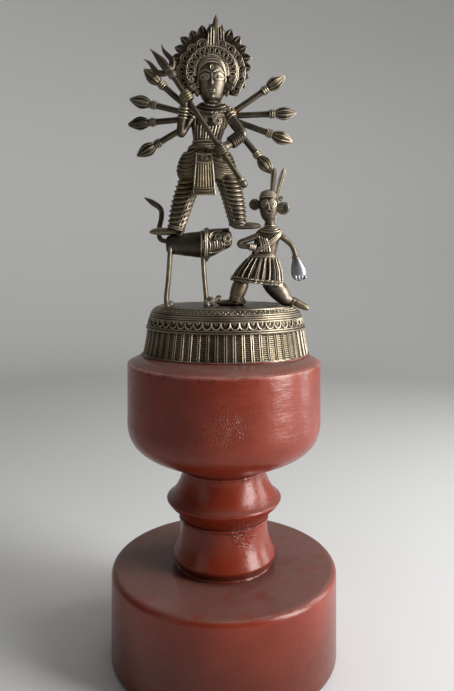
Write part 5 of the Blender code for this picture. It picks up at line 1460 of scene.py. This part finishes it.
# %% [markdown]
# ## Cloth of hips and legs
# The wrapped cloth hangs in swags round both hips, wires mark the seams and the edge of every fold, and
# short ones part the toes. The swags could be modelled into the hips, but the maker laid thick wires on a
# smooth core, so the same is done here, with a thin dark wire under each as a painted shadow.
# %% Swags, seams and toes
SWAG_SHADOW = Vector((0, 0, -0.0015))
hip_skin = surface(hips)
swags = []
for side in (-1, 1):
    for n in range(7):
        path = []
        for s in shares(41):
            turn = math.radians(-88 + 176 * s)
            sag = 4.4 * math.sin(2.04 * abs(turn)) ** 1.2 if abs(turn) < 1.53 else 0.0
            height = 155.4 - 3.4 * n - sag
            path.append(spot(HIP_X + side * 22 * math.cos(turn), 11.5 * math.sin(turn), height))
        swags.append(snug(hip_skin, path, 0.35))
lay("hip_swags", swags, 0.95, BRASS_WARM)
# A thin dark wire just under each swag: a painted shadow.
lay("hip_swag_painted_shadows", [[p + SWAG_SHADOW for p in line] for line in swags], 0.5, BRASS_DARK_AND_SHADED)
seams = []
for leg, side, top, low in ((right_leg, 1, (-17.5, 130), (-31.2, 97)),
                            (left_leg, -1, (-4.0, 130), (4.6, 100))):
    skin = surface(leg)
    for n in range(3):
        line = [spot(top[0] - side * 1.6 * n + (low[0] - top[0]) * s, 0, top[1] + (low[1] - top[1]) * s)
                for s in shares(21)]
        seams.append(pressed(skin, line, 0.3))
lay("trouser_seam_wires", seams, 0.5)
lay("trouser_fold_wires", fold_lines, 0.55, closed=True)
toes = []
for foot, heel, tip in ((right_foot, (-45.5, -1.6, 96), (-54.6, -2.4, 94.5)),
                        (left_foot, (18.0, -1.0, 100), (26.4, -0.3, 98.5))):
    skin = surface(foot)
    for aside in (-1.7, -0.6, 0.6, 1.7):
        line = bow([(heel[0], heel[1] + aside, heel[2]), (tip[0], tip[1] + 0.5 * aside, tip[2])], 10)
        toes.append(snug(skin, line, 0.1))
lay("goddess_toes", toes, 0.42)
print("swags:", len(swags), "seams:", len(seams), "toe lines:", len(toes))

# %% [markdown]
# ## Apron
# A pleated cloth hangs from the belt between the legs, with a coiled medal, cross bands and a wire on
# each side. A flat plate with wires on it would lack the pleats' shadows, so they are in the plate's
# front, while its back stays flat.
# %% Apron
APRON_X, APRON_TOP, APRON_DROP = -14.5, 150.2, 31.6
APRON_HALF, APRON_FLARE = 6.3, 2.5
APRON_PLEATS, APRON_FRONT, APRON_BACK = 8, -10.9, -9.4


def apron_half(z):
    """Half the apron's width at a height, in millimetres."""
    return APRON_HALF + APRON_FLARE * (APRON_TOP - z) / APRON_DROP


front, back = [], []
for share in shares(25):
    z = APRON_TOP - APRON_DROP * share
    opened = min(1.0, max(0.0, (share - 0.18) / 0.1)) * (1.0 if share < 0.86 else 0.4)
    front_row, back_row = [], []
    for across in shares(65):
        x = APRON_X + apron_half(z) * (2 * across - 1)
        pleat = 0.55 * abs(math.sin(math.pi * APRON_PLEATS * across)) * opened
        bulge = 1.2 * (1 - (2 * across - 1) ** 2)
        front_row.append(spot(x, APRON_FRONT - bulge - pleat, z))
        back_row.append(spot(x, APRON_BACK - (0.2 if share >= 0.55 else 0.0), z))
    front.append(front_row)
    back.append(back_row)
apron_mesh = plate_mesh("apron_front_cloth", front, back)
apron = finish_piece("apron_front_cloth", apron_mesh, BRASS_WARM, "goddess_apron")
apron_skin = surface(apron)
bands = []
for z, sag in ((149.0, 0.6), (143.6, 1.0), (124.6, 1.4), (122.9, 1.4), (119.4, 0.3)):
    line = [spot(APRON_X + apron_half(z) * (2 * s - 1), FACE_FRONT, z - sag * (1 - (2 * s - 1) ** 2))
            for s in shares(21)]
    bands.append(snug(apron_skin, line, 0.25))
lay("apron_bands", bands, 0.55)
lay("apron_medal", [snug(apron_skin, coil(-14.2, FACE_FRONT, 146.4, 2.9, 2.2), 0.3)], 0.5)
sides = [[spot(APRON_X + side * (6.2 + 2.3 * s), -13, 149 - 30 * s) for s in shares(13)] for side in (-1, 1)]
lay("apron_side_wires", [snug(apron_skin, line, 0.25) for line in sides], 0.6)
print("apron bands:", len(bands))

# %% [markdown]
# ## Bangles
# Two or three rings of wire mark each wrist and ankle, a wide ribbed cuff sits on the left forearm, and
# rings sit on the trident. Rings could be made by a torus each, but hoops along a line come from one
# thread tree, and ridges on the buds from the arms' own profile.
# %% Bangles


def hoops_between(start, end, radius, count):
    """Hoops from one place to another, in millimetres, square to the line between them."""
    start, end = spot(*start), spot(*end)
    return [hoop(start.lerp(end, s), end - start, radius) for s in shares(count)]


def hoops_on(origin, rows):
    """Hoops on the trident's axis from (distance, radius) rows in millimetres."""
    return [hoop(origin + 0.001 * distance * GRIP_AXIS, GRIP_AXIS, radius) for distance, radius in rows]


bangles, ridges = [], []
bud_rows = [row for row in curve_through(ARM_PROFILE, 120) if 33.6 < row[0] < 48.6][::2]
for root, along in arm_lines:
    for distance, radius in ((28.8, 2.75), (30.4, 3.0), (32.0, 2.75)):
        bangles.append(hoop(root + 0.001 * distance * along, along, radius))
    side = along.orthogonal().normalized()
    across = along.cross(side)
    for turn in full_turn(9):
        out = math.cos(turn) * side + math.sin(turn) * across
        ridges.append([root + 0.001 * row[0] * along + 0.001 * row[1] * out for row in bud_rows])
lay("wrist_bangles", bangles, 0.72, closed=True)
lay("bud_hand_ridges", ridges, 0.45, BRASS)
cuff = hoops_between((12.6, -9.6, 162.6), (5.6, -12.2, 157.0), 4.1, 6)
lay("left_forearm_cuff", cuff, 0.95, BRASS_DARK_AND_SHADED, closed=True)
right_bangles = hoops_between((-30.2, -11.4, 175.6), (-28.8, -13.0, 182.0), 3.6, 4)
lay("right_forearm_bangles", right_bangles, 0.7, closed=True)
armlets, anklets = [], []
for x, sign in ((-20.5, -1), (2.5, 1)):
    for s in (0.35, 0.6):
        place = spot(x + sign * 5.8 * s, -3.8 - 2.5 * s, 181.4 - 8.2 * s)
        armlets.append(hoop(place, Vector((sign * 5.8, -2.5, -8.2)), 3.5))
for x, z, sign in ((-35.6, 94.2, 1), (10.0, 98.3, -1)):
    for s in range(2):
        anklets.append(hoop(spot(x + sign * 0.3 * s, -1, z + 1.4 * s), Vector((sign * 0.3, 0, 1.0)), 6.1))
lay("armlets", armlets, 0.6, closed=True)
lay("anklets", anklets, 0.6, closed=True)
trident_rings = hoops_on(KNOB_TOP, ((-0.6, 2.7), (-4.6, 2.75)))
trident_rings += hoops_on(HEAD_FOOT, ((0.6, 2.8), (2.2, 3.0), (6.2, 3.1)))
lay("trident_rings", trident_rings, 0.45, BRASS_DARK_AND_SHADED, closed=True, body="trident")
print("bangles:", len(bangles), "ridges on buds:", len(ridges))

# %% [markdown]
# ## Wires on the lion
# A mane collar, coiled cheeks and hanging mane threads mark the head, a plate its brow, and the paws are
# coils. Both cheeks carry the same lines, so one list is pressed on from the front and from the back.
# %% Lion's wires
lion_skin = surface(lion_head, lion_body)
mane = [snug(lion_skin, [spot(x, 12 * math.cos(t), LION_Z + 13 * math.sin(t)) for t in full_turn(40)], 0.35)
        for x in (-17.0, -15.4, -13.8, -12.2)]
lay("lion_mane_collar", mane, 0.66, closed=True)
# Each row: lift, number of places, line of the cheek.
cheek = [(0.3, 12, [(-10.6 + 1.75 * n, 0, 85.4 - 0.5 * abs(n - 3)), (-10.2 + 1.75 * n, 0, 81.8),
                    (-10.8 + 1.8 * n, 0, 78.2 + 0.4 * n)]) for n in range(7)]
cheek += [(0.35, 16, [(-11, 0, 87.5), (-9.4, 0, 90.4), (-6.0, 0, 92.2), (-1.5, 0, 92.0)]),
          (0.35, 10, [(-10.6, 0, 86.0), (-9.0, 0, 88.6), (-7.8, 0, 90.0)]),
          (0.35, 14, [(-1.6, 0, 82.8), (1.8, 0, 82.6), (4.4, 0, 83.6)]),
          (0.3, 16, [(-11.5, 0, 76.4), (-5.0, 0, 77.4), (0.5, 0, 80.4)])]
curls, threads = [], []
for facing in (-1, 1):
    curls.append(pressed(lion_skin, coil(-4.6, 0, 88.4, 2.9, 1.9, 200), 0.35, facing))
    curls.append(pressed(lion_skin, coil(2.0, 0, 87.0, 2.9, 2.0, 20, -1), 0.35, facing))
    threads += [pressed(lion_skin, bow(line, count), lift, facing) for lift, count, line in cheek]
lay("lion_head_curls", curls, 0.62)
lay("lion_mane_threads", threads, 0.58)
brow_top = [[spot(-9.4 + 13.4 * i / 12, y, 94.2 + 0.06 * i) for y in (-5.2, -3.0, 0, 3.0, 5.2)]
            for i in range(13)]
brow_under = [[p + Vector((0, 0, -0.0014)) for p in row] for row in brow_top]
finish_piece("lion_brow_plate", plate_mesh("lion_brow_plate", brow_top, brow_under), BRASS_DARK_AND_SHADED)
paws = []
for (_, _, x, ground), (reach, lift) in zip(LEG_PAIRS, ((1.7, 1.5), (2.9, 3.0))):
    for y in (-LEG_Y, LEG_Y):
        paws += [coil(x + 3.0, y + aside, ground + lift, reach, 1.6, 180, -1) for aside in (-1.5, 0.0, 1.5)]
        pad = [(x - 0.6, y, ground + 0.9, 1.5), (x + 2.0, y, ground + 0.8 * lift, 0.75 * reach),
               (x + 5.0, y, ground + 0.6, 0.9)]
        rod("lion_paw_" + str(len(paws)), pad, BRASS, count=14, sides=16)
lay("lion_paw_coils", paws, 0.72)
print("lion threads:", len(threads) + len(mane), "paw coils:", len(paws))

# %% [markdown]
# ## Demon's skirt wires
# A rib lies on each pleat of the skirt, ropes and a wire follow the hem, and two wires make the belt. All
# of them read the skirt's own formula with shallower pleats, so they follow it without any fitting.
# %% Demon's skirt wires
RIB_LIFT = 0.0004
HEM_CENTRE = spot(24.5, 0, 54)
skirt_ribs = []
for pleat in range(SKIRT_PLEATS):
    path = []
    for share in (s / 15 for s in range(2, 14)):
        place = skirt_ring(share, depth=0.4)[pleat * SKIRT_SIDES // SKIRT_PLEATS]
        centre = spot(WAIST_X + SKIRT_LEAN * share, 0, SKIRT_TOP - SKIRT_DROP * share)
        path.append(place + RIB_LIFT * (place - centre).normalized())
    skirt_ribs.append(path)
lay("demon_skirt_ribs", skirt_ribs, 0.48)
hems = [[p + RIB_LIFT * (p - HEM_CENTRE).normalized() for p in skirt_ring(share, depth=0.0)[::2]]
        for share in (0.885, 0.985)]
lay("demon_hem_ropes", hems, 0.5, closed=True, pitch=2.4)
lay("demon_hem_wire", [skirt_ring(0.935, depth=0.0)[::2]], 0.55, closed=True)
lay("demon_belt", [skirt_ring(share, depth=0.0)[::3] for share in (0.02, 0.075)], 0.62, closed=True)
print("skirt ribs:", len(skirt_ribs))

# %% [markdown]
# ## Demon's chest and face
# A sash crosses the chest, necklaces ring the neck, and the face is a few wires and a small nose, as plain
# as on any figure of this kind. The lines are bowed and pressed on, as on the goddess.
# %% Demon's chest and face
DEMON_X, DEMON_FRONT = 33.0, -10
chest = surface(demon_torso)
sash = []
for facing in (-1, 1):
    for n in range(3):
        line = bow([(42.4 - 0.3 * n, 0, 92.4 - 1.4 * n), (36.8, 0, 87.8 - 1.5 * n), (30.5, 0, 83.0 - 1.6 * n),
                    (23.6 - 0.2 * n, 0, 78.9 - 1.4 * n)])
        sash.append(pressed(chest, line, 0.4, facing))
    for n in range(4):
        line = bow([(26.2 + 1.7 * n, 0, 88.4 - 0.5 * n), (27.6 + 1.8 * n, 0, 82.8),
                    (28.0 + 2.0 * n, 0, 77.4)])
        sash.append(pressed(chest, line, 0.3, facing))
lay("demon_sash_wires", sash, 0.62)
neck_skin = surface(demon_torso, demon_head)
neck = [snug(neck_skin, level_ring(34.3, 0, z, radius, 0.9 * radius, 36, 1.6), 0.25)
        for radius, z in ((4.0, 98.0), (4.6, 96.2), (6.2, 94.8), (7.8, 93.4))]
lay("demon_necklaces", neck, 0.62, closed=True)
demon_skin = surface(demon_head)
face_lines = []
for side in (-1, 1):
    for radius in (2.5, 1.25):
        eye = front_ring(DEMON_X + side * 3.0, DEMON_FRONT, 112.6, radius, 16)
        face_lines.append(pressed(demon_skin, [*eye, eye[0]], 0.15))
    brow = [(DEMON_X + side * 0.9, DEMON_FRONT, 114.8), (DEMON_X + side * 3.0, DEMON_FRONT, 115.8),
            (DEMON_X + side * 5.0, -8, 114.6)]
    face_lines.append(snug(demon_skin, bow(brow, 10), 0.15))
for half, ends, middle, lift in ((2.6, 105.6, 105.0, 0.2), (3.0, 107.2, 107.9, 0.3)):
    lip = [(DEMON_X - half, DEMON_FRONT, ends), (DEMON_X, DEMON_FRONT, middle),
           (DEMON_X + half, DEMON_FRONT, ends)]
    face_lines.append(snug(demon_skin, bow(lip, 10), lift))
lay("demon_face_lines", face_lines, 0.56)
nose = ((-6.8, 113.4, 0.4), (-7.8, 110.8, 0.75), (-8.2, 109.0, 1.0), (-7.2, 108.3, 0.6))
rod("demon_nose", [(DEMON_X, y, z, radius) for y, z, radius in nose], BRASS, count=16, sides=12)
print("sash wires:", len(sash), "face lines:", len(face_lines))

# %% [markdown]
# ## Demon's cap, ear discs and feathers
# Rings of wire make a cap, long wires the hair, and two discs stand at the ears. Two leaf-shaped feathers
# rise from the cap. A disc is a small turned form that faces the front, so its rings are circles one
# behind the other. A feather is a flat rod with three veins on each face.
# %% Demon's cap, ear discs and feathers
cap = [snug(demon_skin, level_ring(33.5, -0.5, 117.0 + 1.5 * n, 7.4, 7.2, 36, -1.2), 0.25) for n in range(5)]
lay("demon_cap_rings", cap, 0.62, closed=True)
demon_hair = []
for n in range(-4, 5):
    line = bow([(33.5 + 1.5 * n, 0, 117.0), (33.5 + 1.6 * n, 0, 110.0), (33.7 + 1.1 * n, 0, 102.5)], 16)
    demon_hair.append(pressed(demon_skin, line, 0.25, 1))
lay("demon_back_hair", demon_hair, 0.66)
# Each row: share of the disc's radius, place from front to back.
DISC_PROFILE = ((0.0, -2.0), (0.55, -1.95), (0.9, -1.75), (1.0, -1.0), (0.9, -0.2), (0.5, 0.0), (0.0, 0.05))
for name, node, x, z, radius, metal, wire in (
        ("demon_right_disc", "demon_ear_plate_right", 23.04, 112.5, 4.3, BRASS_DARK_AND_SHADED, BRASS_DARK_AND_SHADED),
        ("demon_left_disc", "demon_ear_plate_left", 44.4, 109.7, 4.9, BRASS, BRASS_WIRE)):
    rings = [front_ring(x, y, z, max(0.05, share * radius), 36) for share, y in DISC_PROFILE]
    finish_piece(name, skinned(rings, name), metal, node)
    lay(name + "_wire", [coil(x, y, z, radius - 0.6, 2.6, 120) for y in (-2.05, 0.1)], 0.5, wire)
lay("demon_ear_curl", [coil(42.2, -4.6, 116.4, 2.0, 1.7, 0)], 0.5)
# Each row: share of the feather's length, radius of its leaf.
FEATHER_PROFILE = ((0.0, 1.4), (0.25, 1.75), (0.62, 2.1), (0.88, 1.7), (1.0, 0.4))
for node, foot, tip in (("demon_feather_right", (35.6, -2, 118.2), (37.7, -2, 139.8)),
                        ("demon_feather_left", (38.6, -2, 116.0), (45.2, -2, 139.8))):
    stops = [[a + share * (b - a) for a, b in zip(foot, tip)] for share, _ in FEATHER_PROFILE]
    rod(node + "_leaf", [(*stop, radius) for stop, (_, radius) in zip(stops, FEATHER_PROFILE)],
        BRASS_DARK_AND_SHADED, node, flat=0.6)
    veins = []
    for aside in (-1.5, 0.0, 1.5):
        deep = 0.35 * abs(aside)
        spreads = ((0.7, -2.9 + deep, 1), (0.85, -3.1 + deep, 0), (1.0, -3.25 + deep, 0),
                   (0.85, -3.0 + deep, 0), (0.1, -2.3, -0.6))
        vein = bow([(x + spread * aside, y, z + rise)
                    for (x, _, z), (spread, y, rise) in zip(stops, spreads)], 18)
        veins += [vein, [Vector((p.x, -0.004 - p.y, p.z)) for p in vein]]
    lay(node + "_veins", veins, 0.46)
print("cap rings:", len(cap), "hair wires:", len(demon_hair))

# %% [markdown]
# ## Demon's rings and toes
# Anklets, bangles and curled toes finish the figure. They are hoops and coils like the others, a step
# apart along the limb that carries them.
# %% Demon's rings and toes


def hoop_row(x, y, z, step, axis, radius, count):
    """Hoops round an axis, a step apart in X and Z, in millimetres."""
    return [hoop(spot(x + step[0] * n, y, z + step[1] * n), Vector(axis), radius) for n in range(count)]


demon_anklets = hoop_row(8.4, -3, 41.2, (0.5, 1.2), (0.4, 0, 1.0), 4.7, 3)
demon_anklets += hoop_row(50.8, -1.5, 40.0, (0.9, -0.6), (0.9, 0, -0.55), 3.6, 2)
lay("demon_anklets", demon_anklets, 0.6, closed=True)
demon_bangles = hoop_row(53.3, -1.4, 73.8, (0.15, -1.1), (0.2, 0, -1.0), 2.4, 2)
demon_bangles += hoop_row(19.6, -4.6, 80.8, (1.2, -0.2), (1.0, 0, -0.2), 2.6, 4)
lay("demon_bangles", demon_bangles, 0.55, closed=True)
toe_curls = [coil(-4.0, y, 42.2, 2.7, 1.6, 200) for y in (-4.8, -3.0, -1.2)]
toe_curls += [coil(14.0, y, 41.0, 2.3, 1.5, 0, -1) for y in (-5.2, -1.4)]
lay("demon_toe_curls", toe_curls, 0.78)
print("demon's rings:", len(demon_anklets) + len(demon_bangles))

# %% [markdown]
# ## Brazed joints
# The arms were brazed on after casting, which leaves rough lumps of metal at shoulders, soles and hip. A
# smooth ball would look like a bead, so noise pushes each lump's places in and out.
# %% Braze lumps
# Copper braze whose colour is partly a painted highlight on the lit left shoulder.
COPPER_BRAZE_AND_HIGHLIGHT = brass_finish("copper_braze_and_highlight", (0.030, 0.014, 0.008), (0.33, 0.19, 0.12),
                      (0.60, 0.40, 0.28), polish=0.02)
LUMP_ROUGH = 0.35
# Each row: name, place, radius, finish.
LUMPS = (
    ("shoulder_braze_left", (5.6, 1.6, 181.4), 4.0, COPPER_BRAZE_AND_HIGHLIGHT),
    ("shoulder_braze_left_low", (4.4, 2.4, 176.6), 3.6, BRASS),
    ("shoulder_braze_right", (-23.4, 1.6, 181.2), 4.0, BRASS_DARK_AND_SHADED),
    ("shoulder_braze_right_low", (-22.2, 2.4, 176.4), 3.6, BRASS_DARK_AND_SHADED),
    ("sole_braze_left", (14.2, -3.2, 98.6), 2.0, BRASS_GREY),
    ("sole_braze_right", (-33.0, -2.0, 90.6), 3.0, BRASS_DARK_AND_SHADED),
    ("hip_braze", (3.2, -9.6, 145.6), 1.7, BRASS_GREY),
)
for name, place, radius, material in LUMPS:
    rings = []
    for tilt in (math.pi * i / 16 for i in range(1, 16)):
        ring = []
        for turn in full_turn(24):
            out = Vector((math.sin(tilt) * math.cos(turn), math.sin(tilt) * math.sin(turn), math.cos(tilt)))
            reach = radius * (1 + LUMP_ROUGH * noise.noise(out * 1.7 + Vector(place)))
            ring.append(spot(*place) + 0.001 * reach * out)
        rings.append(ring)
    finish_piece(name, skinned(rings, name, wobble=0.0), material)
print("lumps of braze:", len(LUMPS))

# %% [markdown]
# ## Paint at the foot and in the grooves
# The stand was painted after the casting was set on it, so a ragged bead of paint runs round the foot,
# and paint fills the grooves between the blocks. A torus would be too even. Each ring is a closed tube
# whose thickness follows noise.
# %% Paint beads
UP = Vector((0, 0, 1))
# Each row: block beside the groove, radius, height, thickness of the paint.
GROOVES = (("drum", 34.9, 64.3, 1.1), ("collar", 31.9, 97.7, 1.5), ("cup", 31.1, 133.8, 1.4))


def paint_ring(name, points, thick):
    """Paint of uneven thickness along a closed line."""
    rings = tube_rings(points + points[:1], thick + thick[:1], 10, hint=UP)[:-1]
    finish_piece(name, looped(rings, name), PAINT, slot="red_paint")


bead_line = base_oval(1.0, 0.25, 260, lift=0.5)
bead_radii = [0.0004 + 0.0011 * max(0.0, 0.25 + noise.noise(p * 70.0)) + 0.0004 * noise.noise(p * 330.0)
              for p in bead_line]
paint_ring("paint_bead", bead_line, bead_radii)
for name, radius, height, thick in GROOVES:
    groove = [0.001 * Vector((radius * math.cos(t), radius * math.sin(t), height)) for t in full_turn(180)]
    fill = [0.001 * thick * (1.0 + 0.5 * noise.noise(p * 110.0) + 0.3 * noise.noise(p * 420.0))
            for p in groove]
    paint_ring("paint_groove_" + name, groove, fill)
print("paint bead up to", round(1000 * max(bead_radii), 2), "mm thick")
